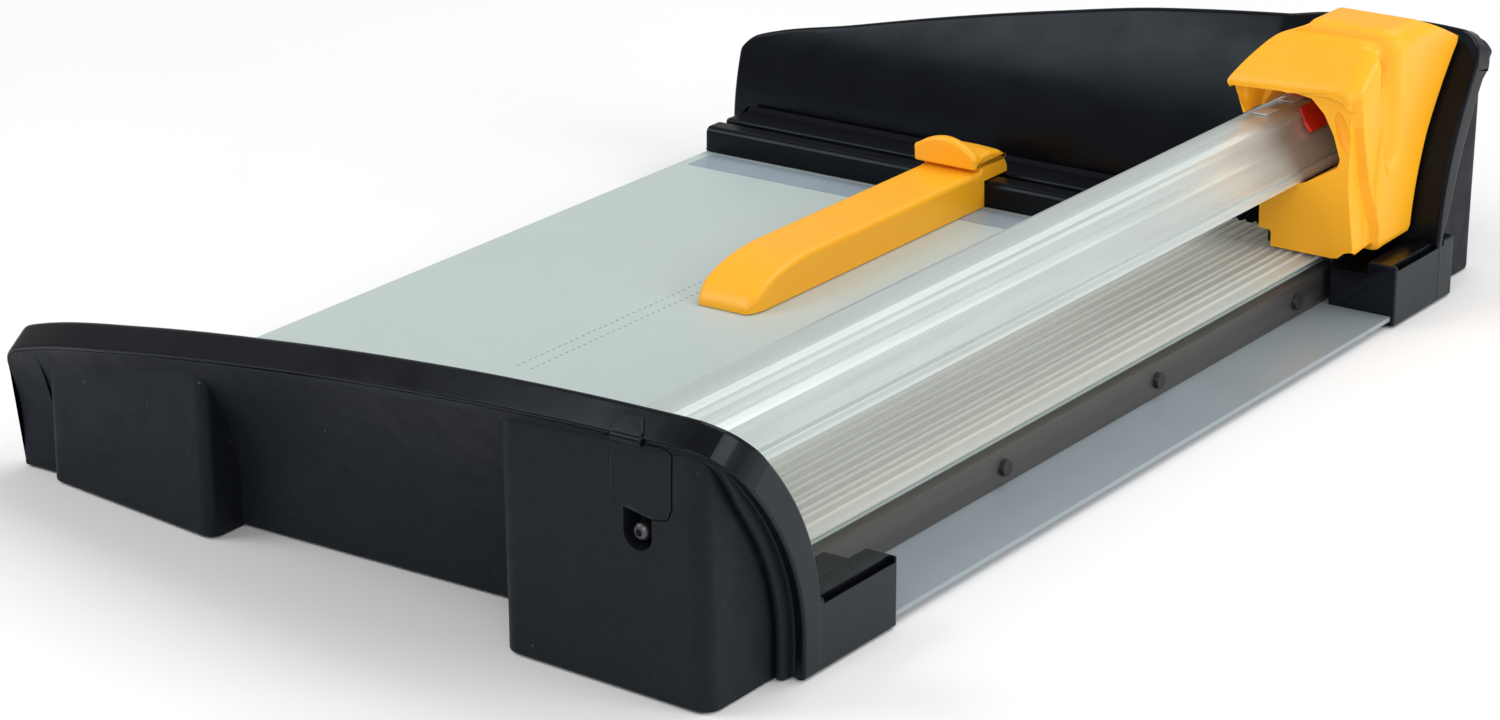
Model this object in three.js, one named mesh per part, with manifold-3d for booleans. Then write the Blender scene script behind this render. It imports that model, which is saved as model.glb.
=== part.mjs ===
// Rotary paper trimmer: a table between two end caps, a guide rail across them,
// and a cutting head that slides along the rail over a fixed lower knife.
// Millimetres, +Z up. While modelling, X = 0 is the right-hand end of the caps, Y = 0 is the foot
// of the near cap's outer face and Z = 0 is the surface that the trimmer stands on. The finished
// group is shifted once, so that its origin is the centre of its footprint.
import * as THREE from 'three';
import { mergeVertices } from 'three/addons/utils/BufferGeometryUtils.js';
import Module from 'manifold-3d';

const wasm = await Module();
wasm.setup();

// ---------------------------------------------------------------- driving dimensions
const GAP = 0.3; // clearance between pieces that touch
const CAP_LENGTH = 370; // end caps, along X
const CAP_SPACING = 512; // outer face to outer face, at the foot of the caps
const COVER_WALL = 2.6; // moulded outer covers
const LEAN_START = 14; // height at which the caps begin to lean outwards
const NEAR_SOFTNESS = 142; // larger is a gentler lean
const FAR_SOFTNESS = 220;
const RIM_DEPTH = 10.5; // near cap frame, front to back
const RIM_RISE = 8; // inner edge of a cap's rim above its outer edge
const SKIN_ROWS = 6; // facets up the leaning faces
const FLANGE = 3.7; // frame's return round the right-hand end of a cover
const FOOT_HEIGHT = 28;
const FOOT_WIDTH = 32;
const SOLE = 0.8; // caps stand this far above the floor, on rubber feet
const FAR_WALL = 486; // inner face of the far cap, along the ledge
const PARKING_WALL = 494.5; // the same face behind the parked head
const NICHE_START = -94; // the face steps back between these two places
const NICHE_END = -78;
const BEAD_LEFT = -9.5; // raised bead up the covers' right-hand ends
const BEAD_RIGHT = -6;

const TABLE_START = 12; // near edge of the table and the base plate
const TABLE_LEFT = -358;
const TABLE_TOP = 20.4;
const TABLE_SHEET = 3;
const KNIFE_FACE = -35.2; // cutting plane
const BASE_TOP = 5.3;
const BASE_SHEET = 2;
const BASE_LEFT = -355;
const BASE_RIGHT = -2;
const RULER = { left: -352, right: -118, front: 425, back: 445.5 };
const KNIFE_START = 20;
const KNIFE_END = 480;
const KNIFE_WIDTH = 6.5;
const KNIFE_SCREW_HEIGHT = 12.5;
const KNIFE_SCREW_PLACES = [70, 190, 310, 430];
const BEAM_PLACES = [-340, -210, -80];
const BASE_SCREW_ROWS = [90, 420];
const SCREW_RADIUS = 2;
const LEDGE_FRONT = 447;
const LEDGE_BACK = 480.5;
const LEDGE_TOP = 32.6;
const GROOVE_FRONT = LEDGE_FRONT + 11; // groove along the ledge, for the side guide
const GROOVE_BACK = LEDGE_FRONT + 16.8;
const LEDGE_LEFT = -357;
const LEDGE_RIGHT = -106;

const RAIL_AXIS = -67.5;
const RAIL_TOP = 85.1;
const RAIL_START = -5.7;
const RAIL_END = 500;
const RAIL_WALL = 3.2; // socket round each end of the rail
// Right-hand halves of the rail's outer section, its bore and its end plugs, from the top centre down.
const RAIL_HALF = [
  [4, 0], [6.2, -0.4], [10.1, -1.8], [13, -7], [14.8, -11.1], [22.2, -21.3], [23.6, -25],
];
const RAIL_BORE = [[7.6, -3.2], [11.6, -9], [13, -13], [20, -22.6], [20.6, -26]];
const RAIL_PLUG = [[7.2, -3.8], [11.1, -9.4], [12.4, -13.2], [17, -20], [17, -30]];

const STRIP_LIFT = 4.6; // clear strip above the table when the head is parked
const STRIP_LEFT = -102;
const STRIP_RIGHT = -37;
const STRIP_START = 20;
const STRIP_END = 476;
const STRIP_SHEET = 2.6;
const RIB_RISE = 1; // ribs above the strip's sheet
const RIB_PITCH = 5.5;
const SPRING_TURNS = 3;
const SPRING_STEPS = 10; // steps in one turn
const SPRING_RADIUS = 2.6;
const SPRING_WIRE = 0.35;

const HEAD_FRONT = 444; // parked head
const HEAD_BACK = 492;
const HEAD_SPLIT = 468; // where the lower front housing ends and the taller rear one begins
const HEAD_BOTTOM = 29.5;
const HEAD_TOP = 127;
const WHEEL_RADIUS = 16;
const WHEEL_PLANE = KNIFE_FACE + 0.3;
const WHEEL_OVERLAP = 1.2; // how far the wheel reaches below the table's surface
const WHEEL_Y = 466;
const WHEEL_HEIGHT = TABLE_TOP - WHEEL_OVERLAP + WHEEL_RADIUS;
const AXLE_RADIUS = 2;
const CAVITY_LEFT = -59.5; // hollow under the head for the wheel and the rollers
const CAVITY_RIGHT = -16.5;
const CAVITY_TOP = 62;
const ROLLERS = [['front', 453], ['rear', 480]];
const ROLLER_X = -50;
const ROLLER_RADIUS = 5;
const ROLLER_LENGTH = 13;
const PIN_RADIUS = 1.3; // roller pins and the lever's pin
const ROLLER_HEIGHT = TABLE_TOP + STRIP_LIFT + STRIP_SHEET + RIB_RISE + GAP + ROLLER_RADIUS;

const GUIDE_CENTRE = -218;
const GUIDE_WIDTH = 31;
const GUIDE_HEIGHT = 17;
const GUIDE_TIP = 262;
const GUIDE_CORNER = 12; // rounding of its tip, seen from above
const LEVER_PIN_Y = LEDGE_FRONT + 2;
const LEVER_PIN_Z = LEDGE_TOP + GAP + 4.3;
const LEVER_HALF = 10.5; // half its width, between the bay's sides

const FLAP_PIN = { x: -37.5, y: -51.6, z: 99 };
const FLAP_SLOPE = 0.17; // the flap leans out with the cover that it lies on
const FLAP_FACE = -43.2; // its outer face where it starts to lean out
const FLAP_SHEET = 2.2;
const LOCK = { x: -39.5, z: 61.5, radius: 6.3 };
// Rubber feet as [x, y, radius].
const RUBBER_FEET = [[-303, -3.5, 4.6], [-57, -20, 8], [-303, 515.5, 4.6], [-57, 532, 8]];

// Heights of the near cap's outer edge and the far cap's inner edge, as [x, z].
const NEAR_EDGE = [
  [-370, 44], [-367.5, 49.5], [-361, 54.5], [-291, 70.2], [-218, 82.4],
  [-151, 91.6], [-92, 97.4], [-46, 99.6], [-18, 99.8], [-7, 96.5], [-2, 90], [0, 82],
];
const FAR_EDGE = [
  [-370, 50], [-368, 59.5], [-360, 66.4], [-310, 77.5], [-259, 88.2], [-206, 97.7],
  [-154, 105.6], [-82, 112], [-30, 114.6], [-12, 114], [-3, 109], [0, 102],
];

// Foot blocks on the covers: ends, how far each end stands off the foot of the cap, height and the
// radius of the upright corners.
const NEAR_BLOCKS = [
  { x0: -350, x1: -257, front0: 6, front1: 18.5, height: 70, corner: 5 },
  { x0: -103.5, x1: -10.5, front0: 38, front1: 43.6, height: 96, corner: 7 },
];
const FAR_BLOCKS = [
  { x0: -350, x1: -257, front0: 6, front1: 16, height: 58, corner: 5 },
  { x0: -103.5, x1: -10.5, front0: 36, front1: 42, height: 98, corner: 7 },
];
const BLOCK_WALL = 3;

// ---------------------------------------------------------------- materials
const finish = (color, roughness, metalness = 0, opacity = 1) => () =>
  new THREE.MeshStandardMaterial({ color, roughness, metalness, opacity, transparent: opacity < 1 });
const glossyBlack = finish(0x0e0f13, 0.25);
const charcoal = finish(0x23262c, 0.6);
const satinGrey = finish(0xbfd0cd, 0.45, 0.1);
const baseGrey = finish(0x929ea4, 0.4, 0.1);
const steel = finish(0x8d9094, 0.3, 0.9);
const darkSteel = finish(0x4a4744, 0.4, 0.8);
const aluminium = finish(0xa9bab6, 0.3, 0.8);
const clear = finish(0xe8ece6, 0.15, 0, 0.35);
const yellow = finish(0xffb32a, 0.4);
const red = finish(0xd8321c, 0.45);
const rubber = finish(0x17181a, 0.9);
const white = finish(0xdfe6ea, 0.5);

// ---------------------------------------------------------------- solids
function toSolid(geometry) {
  const bare = geometry.clone();
  bare.deleteAttribute('normal');
  bare.deleteAttribute('uv');
  const merged = mergeVertices(bare, 1e-4);
  return new wasm.Manifold(new wasm.Mesh({
    numProp: 3,
    vertProperties: new Float32Array(merged.attributes.position.array),
    triVerts: new Uint32Array(merged.index.array),
  }));
}

function toGeometry(solid) {
  const mesh = solid.getMesh();
  const geometry = new THREE.BufferGeometry();
  geometry.setAttribute('position', new THREE.BufferAttribute(new Float32Array(mesh.vertProperties), 3));
  geometry.setIndex(new THREE.BufferAttribute(new Uint32Array(mesh.triVerts), 1));
  return geometry;
}

const join = (first, ...others) => others.reduce((sum, next) => sum.add(next), first);
const cut = (first, ...others) => others.reduce((rest, next) => rest.subtract(next), first);

// Box between two corners.
function block(x0, y0, z0, x1, y1, z1) {
  const box = new THREE.BoxGeometry(x1 - x0, y1 - y0, z1 - z0);
  box.translate((x0 + x1) / 2, (y0 + y1) / 2, (z0 + z1) / 2);
  return toSolid(box);
}

// A box divided into cells, each corner of which is moved to place(a, b, c) with a, b, c in 0..1.
function warpedBox(across, deep, high, place) {
  const box = new THREE.BoxGeometry(1, 1, 1, across, deep, high);
  const corner = box.attributes.position;
  for (let i = 0; i < corner.count; i += 1) {
    const point = place(corner.getX(i) + 0.5, corner.getY(i) + 0.5, corner.getZ(i) + 0.5);
    corner.setXYZ(i, ...point);
  }
  return toSolid(box);
}

function shapeOf(points) {
  return new THREE.Shape(points.map(([u, v]) => new THREE.Vector2(u, v)));
}

// Outline in the X-Z plane, carried along +Y from y0 to y1.
function extrudeAlongY(outline, y0, y1) {
  const shape = outline instanceof THREE.Shape ? outline : shapeOf(outline);
  const solid = new THREE.ExtrudeGeometry(shape, { depth: y1 - y0, bevelEnabled: false, curveSegments: 8 });
  solid.rotateX(Math.PI / 2);
  solid.translate(0, y1, 0);
  return toSolid(solid);
}

// Outline in the Y-Z plane, carried along +X from x0 to x1.
function extrudeAlongX(outline, x0, x1) {
  const shape = outline instanceof THREE.Shape ? outline : shapeOf(outline);
  const solid = new THREE.ExtrudeGeometry(shape, { depth: x1 - x0, bevelEnabled: false, curveSegments: 8 });
  solid.rotateY(Math.PI / 2);
  solid.rotateX(Math.PI / 2);
  solid.translate(x0, 0, 0);
  return toSolid(solid);
}

// Round bar or disc centred on a point, with its axis along one of the frame's axes.
function round(axis, radius, length, x, y, z, sides = 24) {
  const bar = new THREE.CylinderGeometry(radius, radius, length, sides);
  if (axis === 'x') bar.rotateZ(-Math.PI / 2);
  if (axis === 'z') bar.rotateX(Math.PI / 2);
  bar.translate(x, y, z);
  return toSolid(bar);
}

// Solid of revolution about an axis through (x, y, z): profile is [[radius, distance along axis], ...].
function turned(axis, profile, x, y, z, sides = 32) {
  const closed = [...profile, profile[0]].map(([r, h]) => new THREE.Vector2(r, h));
  const body = new THREE.LatheGeometry(closed, sides);
  if (axis === 'x') body.rotateZ(-Math.PI / 2);
  if (axis === 'z') body.rotateX(Math.PI / 2);
  body.translate(x, y, z);
  const solid = toSolid(body);
  return solid.volume() > 0 ? solid : toSolid(flipped(body));
}

function flipped(geometry) {
  const copy = geometry.clone();
  const order = copy.index.array;
  for (let i = 0; i < order.length; i += 3) {
    [order[i + 1], order[i + 2]] = [order[i + 2], order[i + 1]];
  }
  return copy;
}

const trimmer = new THREE.Group();

function add(name, solid, material, parent = trimmer) {
  const mesh = new THREE.Mesh(toGeometry(solid), material());
  mesh.name = name;
  parent.add(mesh);
  return mesh;
}

// ---------------------------------------------------------------- shape of the end caps
const lean = (z, softness) => (z > LEAN_START ? (z - LEAN_START) ** 2 / softness : 0);
const mix = (low, high, t) => low + (high - low) * t;

// Stations along a cap: the given edge points, with one more between each pair that is far apart.
function stationsOf(edge) {
  const curve = new THREE.SplineCurve(edge.map(([x, z]) => new THREE.Vector2(x, z)));
  const stations = [];
  for (let i = 0; i < edge.length; i += 1) {
    stations.push(edge[i]);
    if (i < edge.length - 1 && edge[i + 1][0] - edge[i][0] > 30) {
      const between = curve.getPoint((i + 0.5) / (edge.length - 1));
      stations.push([between.x, between.y]);
    }
  }
  return stations;
}

const NEAR_STATIONS = stationsOf(NEAR_EDGE);
const FAR_STATIONS = stationsOf(FAR_EDGE);

function edgeHeight(stations, x) {
  const next = stations.findIndex(([at]) => at >= x);
  if (next <= 0) return stations[Math.max(next, 0)][1];
  const [x0, z0] = stations[next - 1];
  const [x1, z1] = stations[next];
  return mix(z0, z1, (x - x0) / (x1 - x0));
}

// Skin of the near cap: depth 0 is its outer face, depth 1 its inner face.
const nearSkin = (z, depth) => RIM_DEPTH * depth - lean(z - RIM_RISE * depth, NEAR_SOFTNESS);
const NEAR_COVER_DEPTH = COVER_WALL / RIM_DEPTH;
const NEAR_FRAME_DEPTH = (COVER_WALL + GAP) / RIM_DEPTH;

function nearSlab(x0, x1, depth0, depth1, bottom = SOLE) {
  const inside = NEAR_STATIONS.filter(([x]) => x > x0 && x < x1).map(([x]) => x);
  const stops = [x0, ...inside, x1];
  return warpedBox(stops.length - 1, 1, SKIN_ROWS, (a, b, c) => {
    const x = stops[Math.round(a * (stops.length - 1))];
    const depth = b > 0.5 ? depth1 : depth0;
    const z = mix(bottom, edgeHeight(NEAR_STATIONS, x) + RIM_RISE * depth, c);
    return [x, nearSkin(z, depth), z];
  });
}

// Skin of the far cap. Its inner face steps back at the right-hand end, where the head parks.
function farInner(x, z) {
  const step = THREE.MathUtils.smoothstep(x, NICHE_START, NICHE_END);
  return mix(FAR_WALL, PARKING_WALL, step) + lean(z - RIM_RISE, FAR_SOFTNESS);
}
const farOuter = (z) => CAP_SPACING + lean(z, FAR_SOFTNESS);

function farSlab(x0, x1, front, back, topDrop0, topDrop1, bottom = SOLE) {
  const inside = FAR_STATIONS.filter(([x]) => x > x0 && x < x1).map(([x]) => x);
  const stops = [x0, ...inside, NICHE_START, NICHE_END].filter((x) => x >= x0 && x < x1);
  const sorted = [...new Set(stops), x1].sort((p, q) => p - q);
  return warpedBox(sorted.length - 1, 1, SKIN_ROWS, (a, b, c) => {
    const x = sorted[Math.round(a * (sorted.length - 1))];
    const drop = b > 0.5 ? topDrop1 : topDrop0;
    const z = mix(bottom, edgeHeight(FAR_STATIONS, x) - drop, c);
    return [x, b > 0.5 ? back(x, z) : front(x, z), z];
  });
}

// A foot block on a cap's outer cover. Its front stands off the cap's foot by front0 at x0 and by
// front1 at x1, and its top runs back into the leaning face. outward is -1 on the near cap, where
// the block grows towards -Y, and 1 on the far cap. inset gives the hollow inside the block.
function footBlock({ x0, x1, front0, front1, height, corner }, face, outward, inset = 0) {
  const foot = outward > 0 ? CAP_SPACING : 0;
  const edgeOf = outward > 0
    ? (x) => edgeHeight(FAR_STATIONS, x) - RIM_RISE
    : (x) => edgeHeight(NEAR_STATIONS, x);
  const left = x0 + inset;
  const right = x1 - inset;
  return warpedBox(6, 1, 4, (a, b, c) => {
    const x = mix(left, right, a);
    const z = mix(SOLE + inset, Math.min(height, edgeOf(x) - 1.5) - inset, c);
    const edge = Math.min(x - left, right - x);
    const ease = edge < corner ? corner - Math.sqrt(corner ** 2 - (corner - edge) ** 2) : 0;
    const front = mix(front0, front1, a) * (1 + 0.05 * c) - inset - ease;
    const buried = outward * (face(z) - foot) - COVER_WALL * (inset ? 0.85 : 0.4);
    const reach = Math.max(c > 0.9 ? buried : front, buried);
    const outer = outward > 0 ? b > 0.5 : b < 0.5;
    return [x, foot + outward * (outer ? reach : -1), z];
  });
}


// Slot in a cap's frame for the base plate, between two places along Y.
function baseSeat(start, end) {
  return block(-FOOT_WIDTH - 1, start, BASE_TOP - BASE_SHEET - GAP, 1, end, BASE_TOP + GAP);
}

// ---------------------------------------------------------------- near end cap
function nearCap() {
  const frame = join(
    nearSlab(-CAP_LENGTH, 0, NEAR_FRAME_DEPTH, 1),
    nearSlab(-FLANGE, 0, 0, 1),
    block(-FOOT_WIDTH, RIM_DEPTH - 1, SOLE, 0, 58, FOOT_HEIGHT),
    extrudeAlongY(railOutline(RAIL_WALL), RAIL_START - RIM_DEPTH, 6),
  );
  const railSeat = extrudeAlongY(railOutline(GAP), RAIL_START - GAP, 7);
  add('near_cap_frame', cut(frame, railSeat, baseSeat(TABLE_START - GAP, 60)), glossyBlack);

  const face = (z) => nearSkin(z, 0);
  const shell = nearSlab(-CAP_LENGTH, -FLANGE - GAP, 0, NEAR_COVER_DEPTH);
  const bead = warpedBox(1, 1, SKIN_ROWS, (a, b, c) => {
    const z = mix(SOLE, 88, c);
    return [mix(BEAD_LEFT, BEAD_RIGHT, a), face(z) + (b > 0.5 ? 1 : -5.5), z];
  });
  const blocks = NEAR_BLOCKS.map((size) => footBlock(size, face, -1));
  const hollows = NEAR_BLOCKS.map((size) => footBlock(size, face, -1, BLOCK_WALL));
  const behind = nearSlab(-CAP_LENGTH - 1, 1, NEAR_COVER_DEPTH, 3);
  const lockSlot = join(
    block(LOCK.x - LOCK.radius, -60, LOCK.z, LOCK.x + LOCK.radius, -30, LOCK.z + 14),
    round('y', LOCK.radius, 30, LOCK.x, -45, LOCK.z),
  );
  const pinBed = round('x', 2 + GAP, 13, FLAP_PIN.x, FLAP_PIN.y, FLAP_PIN.z, 16);
  const skin = cut(join(shell, bead, ...blocks), behind, ...hollows);
  add('near_cap_cover', cut(skin, lockSlot, flapPlate(GAP, 6), pinBed, ...footWells()), charcoal);
}

// ---------------------------------------------------------------- far end cap
function farCap() {
  const coverFront = (x, z) => farOuter(z) - COVER_WALL;
  const coverBack = (x, z) => farOuter(z);
  const frameBack = (x, z) => farOuter(z) - COVER_WALL - GAP;
  const frame = join(
    farSlab(-CAP_LENGTH + 13, 0, farInner, frameBack, 0, RIM_RISE),
    farSlab(-FLANGE, 0, farInner, coverBack, 0, RIM_RISE),
    block(-FOOT_WIDTH, 454, SOLE, 0, CAP_SPACING - 14, FOOT_HEIGHT),
    extrudeAlongY(railOutline(RAIL_WALL), PARKING_WALL - 0.5, RAIL_END + 14),
  );
  const railSeat = extrudeAlongY(railOutline(GAP), PARKING_WALL - 1.5, RAIL_END + GAP);
  add('far_cap_frame', cut(frame, railSeat, baseSeat(452, LEDGE_BACK + GAP)), glossyBlack);

  const shell = farSlab(-CAP_LENGTH, -FLANGE - GAP, coverFront, coverBack, RIM_RISE, RIM_RISE);
  const bead = warpedBox(1, 1, SKIN_ROWS, (a, b, c) => {
    const z = mix(SOLE, 94, c);
    return [mix(BEAD_LEFT, BEAD_RIGHT, a), farOuter(z) + (b > 0.5 ? 4.5 : -1), z];
  });
  const blocks = FAR_BLOCKS.map((size) => footBlock(size, farOuter, 1));
  const hollows = FAR_BLOCKS.map((size) => footBlock(size, farOuter, 1, BLOCK_WALL));
  const inside = farSlab(-CAP_LENGTH, -FLANGE - GAP, () => 400, coverFront, RIM_RISE, RIM_RISE);
  add('far_cap_cover', cut(join(shell, bead, ...blocks), inside, ...hollows, ...footWells()), charcoal);
}

// ---------------------------------------------------------------- table, base and lower knife

function table() {
  const tableRight = KNIFE_FACE - KNIFE_WIDTH - GAP;
  const flangeRight = TABLE_LEFT + 2.5;
  const { left, right, front, back } = RULER;
  const sheet = block(TABLE_LEFT, TABLE_START, TABLE_TOP - TABLE_SHEET, tableRight, LEDGE_BACK, TABLE_TOP);
  const leftFlange = block(TABLE_LEFT, TABLE_START, BASE_TOP + GAP, flangeRight, LEDGE_BACK, TABLE_TOP - 1);
  const rulerBed = block(left, front, TABLE_TOP - 0.6, right, back, TABLE_TOP + 1);
  add('work_table', cut(join(sheet, leftFlange), rulerBed), satinGrey);
  add('ruler_strip', block(
    left + GAP, front + GAP, TABLE_TOP - 0.3, right - GAP, back - GAP, TABLE_TOP + 0.1,
  ), white);

  const screwPlaces = BASE_SCREW_ROWS.flatMap((y) => BEAM_PLACES.map((x) => [x, y]));
  const plate = block(BASE_LEFT, TABLE_START, BASE_TOP - BASE_SHEET, BASE_RIGHT, LEDGE_BACK, BASE_TOP);
  const holes = screwPlaces.map(([x, y]) => round('z', SCREW_RADIUS + GAP, 6, x, y, BASE_TOP, 16));
  add('base_plate', cut(plate, ...holes), baseGrey);

  BEAM_PLACES.forEach((x, i) => {
    const height = TABLE_TOP - TABLE_SHEET - GAP;
    const beam = block(x - 11, 30, BASE_TOP + GAP, x + 11, 470, height);
    const channel = block(x - 8, 29, BASE_TOP + 3, x + 8, 471, height - 3);
    const wells = BASE_SCREW_ROWS.map((y) => round('z', SCREW_RADIUS + GAP, 6, x, y, BASE_TOP + 1, 16));
    add(`table_beam_${i + 1}`, cut(beam, channel, ...wells), aluminium);
  });
  screwPlaces.forEach(([x, y], i) => {
    const seat = BASE_TOP - BASE_SHEET - GAP;
    const head = round('z', 4, 1.4, x, y, seat - 0.7);
    const shank = round('z', SCREW_RADIUS, 5, x, y, seat + 2.3, 16);
    add(`base_screw_${i + 1}`, join(head, shank), steel);
  });

  const blade = block(KNIFE_FACE - KNIFE_WIDTH, KNIFE_START, 8, KNIFE_FACE, KNIFE_END, TABLE_TOP);
  const foot = block(KNIFE_FACE - 15, KNIFE_START, BASE_TOP + GAP, KNIFE_FACE, KNIFE_END, 8.5);
  const threads = KNIFE_SCREW_PLACES.map((y) => round('x', 1.8, 6, KNIFE_FACE, y, KNIFE_SCREW_HEIGHT, 16));
  add('lower_knife', cut(join(blade, foot), ...threads), darkSteel);
  KNIFE_SCREW_PLACES.forEach((y, i) => {
    const shank = round('x', 1.5, 3.2, KNIFE_FACE - 0.8, y, KNIFE_SCREW_HEIGHT, 16);
    const head = round('x', 3.4, 1.6, KNIFE_FACE + GAP + 0.8, y, KNIFE_SCREW_HEIGHT, 20);
    add(`knife_screw_${i + 1}`, join(shank, head), steel);
  });

  const lip = LEDGE_TOP - 3;
  const grooveFloor = LEDGE_TOP - 4;
  const ledge = shapeOf([
    [LEDGE_FRONT, TABLE_TOP + GAP], [LEDGE_FRONT, lip], [LEDGE_FRONT + 3, LEDGE_TOP],
    [GROOVE_FRONT, LEDGE_TOP], [GROOVE_FRONT + 0.8, grooveFloor], [GROOVE_BACK - 0.8, grooveFloor],
    [GROOVE_BACK, LEDGE_TOP], [LEDGE_BACK + 3, LEDGE_TOP], [LEDGE_BACK + 3, TABLE_TOP + GAP],
  ]);
  add('alignment_ledge', extrudeAlongX(ledge, LEDGE_LEFT, LEDGE_RIGHT), glossyBlack);
}

// ---------------------------------------------------------------- guide rail
// Whole outline across the rail: half is its right-hand side from the top down.
function bothSides(half) {
  const right = half.map(([u, v]) => [RAIL_AXIS + u, RAIL_TOP + v]);
  const left = half.map(([u, v]) => [RAIL_AXIS - u, RAIL_TOP + v]);
  return [...left.reverse(), ...right].reverse();
}

// The rail's outer outline, grown by a clearance or a wall.
function railOutline(grow = 0) {
  const last = RAIL_HALF.length - 1;
  const grown = RAIL_HALF.map(([u, v], i) => [u + grow, i === last ? v - grow : v + grow * (1 - i / last)]);
  return bothSides(grown);
}

function rail() {
  const skin = extrudeAlongY(railOutline(), RAIL_START, RAIL_END);
  const hollow = extrudeAlongY(bothSides(RAIL_BORE), RAIL_START - 1, RAIL_END + 1);
  add('guide_rail', cut(skin, hollow), aluminium);

  add('near_rail_plug', extrudeAlongY(bothSides(RAIL_PLUG), 7, 17), charcoal);
  add('far_rail_plug', extrudeAlongY(bothSides(RAIL_PLUG), 482, 493), charcoal);
}

// ---------------------------------------------------------------- clear paper clamp
function clamp() {
  const low = TABLE_TOP + STRIP_LIFT;
  const sheet = low + STRIP_SHEET;
  const crest = sheet + RIB_RISE;
  const outline = [
    [STRIP_LEFT, low + 3], [STRIP_LEFT, low + 8.5], [STRIP_LEFT + 2, low + 8.5],
    [STRIP_LEFT + 3.5, low + 4.5], [STRIP_LEFT + 10, sheet],
  ];
  for (let x = STRIP_LEFT + 13; x < STRIP_RIGHT - 6; x += RIB_PITCH) {
    outline.push([x, sheet], [x + 0.8, crest], [x + 2, crest], [x + 2.8, sheet]);
  }
  outline.push([STRIP_RIGHT, sheet], [STRIP_RIGHT, low], [STRIP_LEFT + 8, low]);
  add('clamp_strip', extrudeAlongY(outline.reverse(), STRIP_START, STRIP_END), clear);

  [['clamp_spring_near', STRIP_START + 5], ['clamp_spring_far', STRIP_END - 5]].forEach(([name, y]) => {
    const foot = TABLE_TOP + GAP + SPRING_WIRE;
    const top = low - GAP - SPRING_WIRE;
    const steps = SPRING_TURNS * SPRING_STEPS;
    const points = [];
    for (let i = 0; i <= steps; i += 1) {
      const angle = (i / SPRING_STEPS) * 2 * Math.PI;
      const x = STRIP_LEFT + 14 + SPRING_RADIUS * Math.cos(angle);
      points.push(new THREE.Vector3(x, y + SPRING_RADIUS * Math.sin(angle), mix(foot, top, i / steps)));
    }
    const section = new THREE.Shape();
    section.absarc(0, 0, SPRING_WIRE, 0, 2 * Math.PI);
    const coil = new THREE.ExtrudeGeometry(section, {
      steps, curveSegments: 3, extrudePath: new THREE.CatmullRomCurve3(points),
    });
    const solid = toSolid(coil);
    add(name, solid.volume() > 0 ? solid : toSolid(flipped(mergeVertices(coil))), steel);
  });
}

// ---------------------------------------------------------------- cutting head
// Front outline of the hood, seen along the rail, and the rail's passage through both housings.
const HOOD_OUTLINE = [
  [-63, 70], [-74, 86], [-82, 100], [-79, 103], [-34, 106], [-23, 103], [-17, 95], [-14.5, 66],
  [-13, 33], [-15, HEAD_BOTTOM], [-55, HEAD_BOTTOM], [-62, 33], [-63, 37],
];
const PASSAGE_OUTLINE = [
  [-96, 82], [-71, 99], [-54, 99], [-40, 98], [-33, 92], [-26.5, 78], [-26.5, 54], [-96, 54],
];
// Slider that wraps the rail's upper half.
const SLED_OUTLINE = [
  [-87, 73.5], [-83, 90], [-78, 94], [-57, 94], [-52, 90], [-48, 73.5],
];

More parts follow.
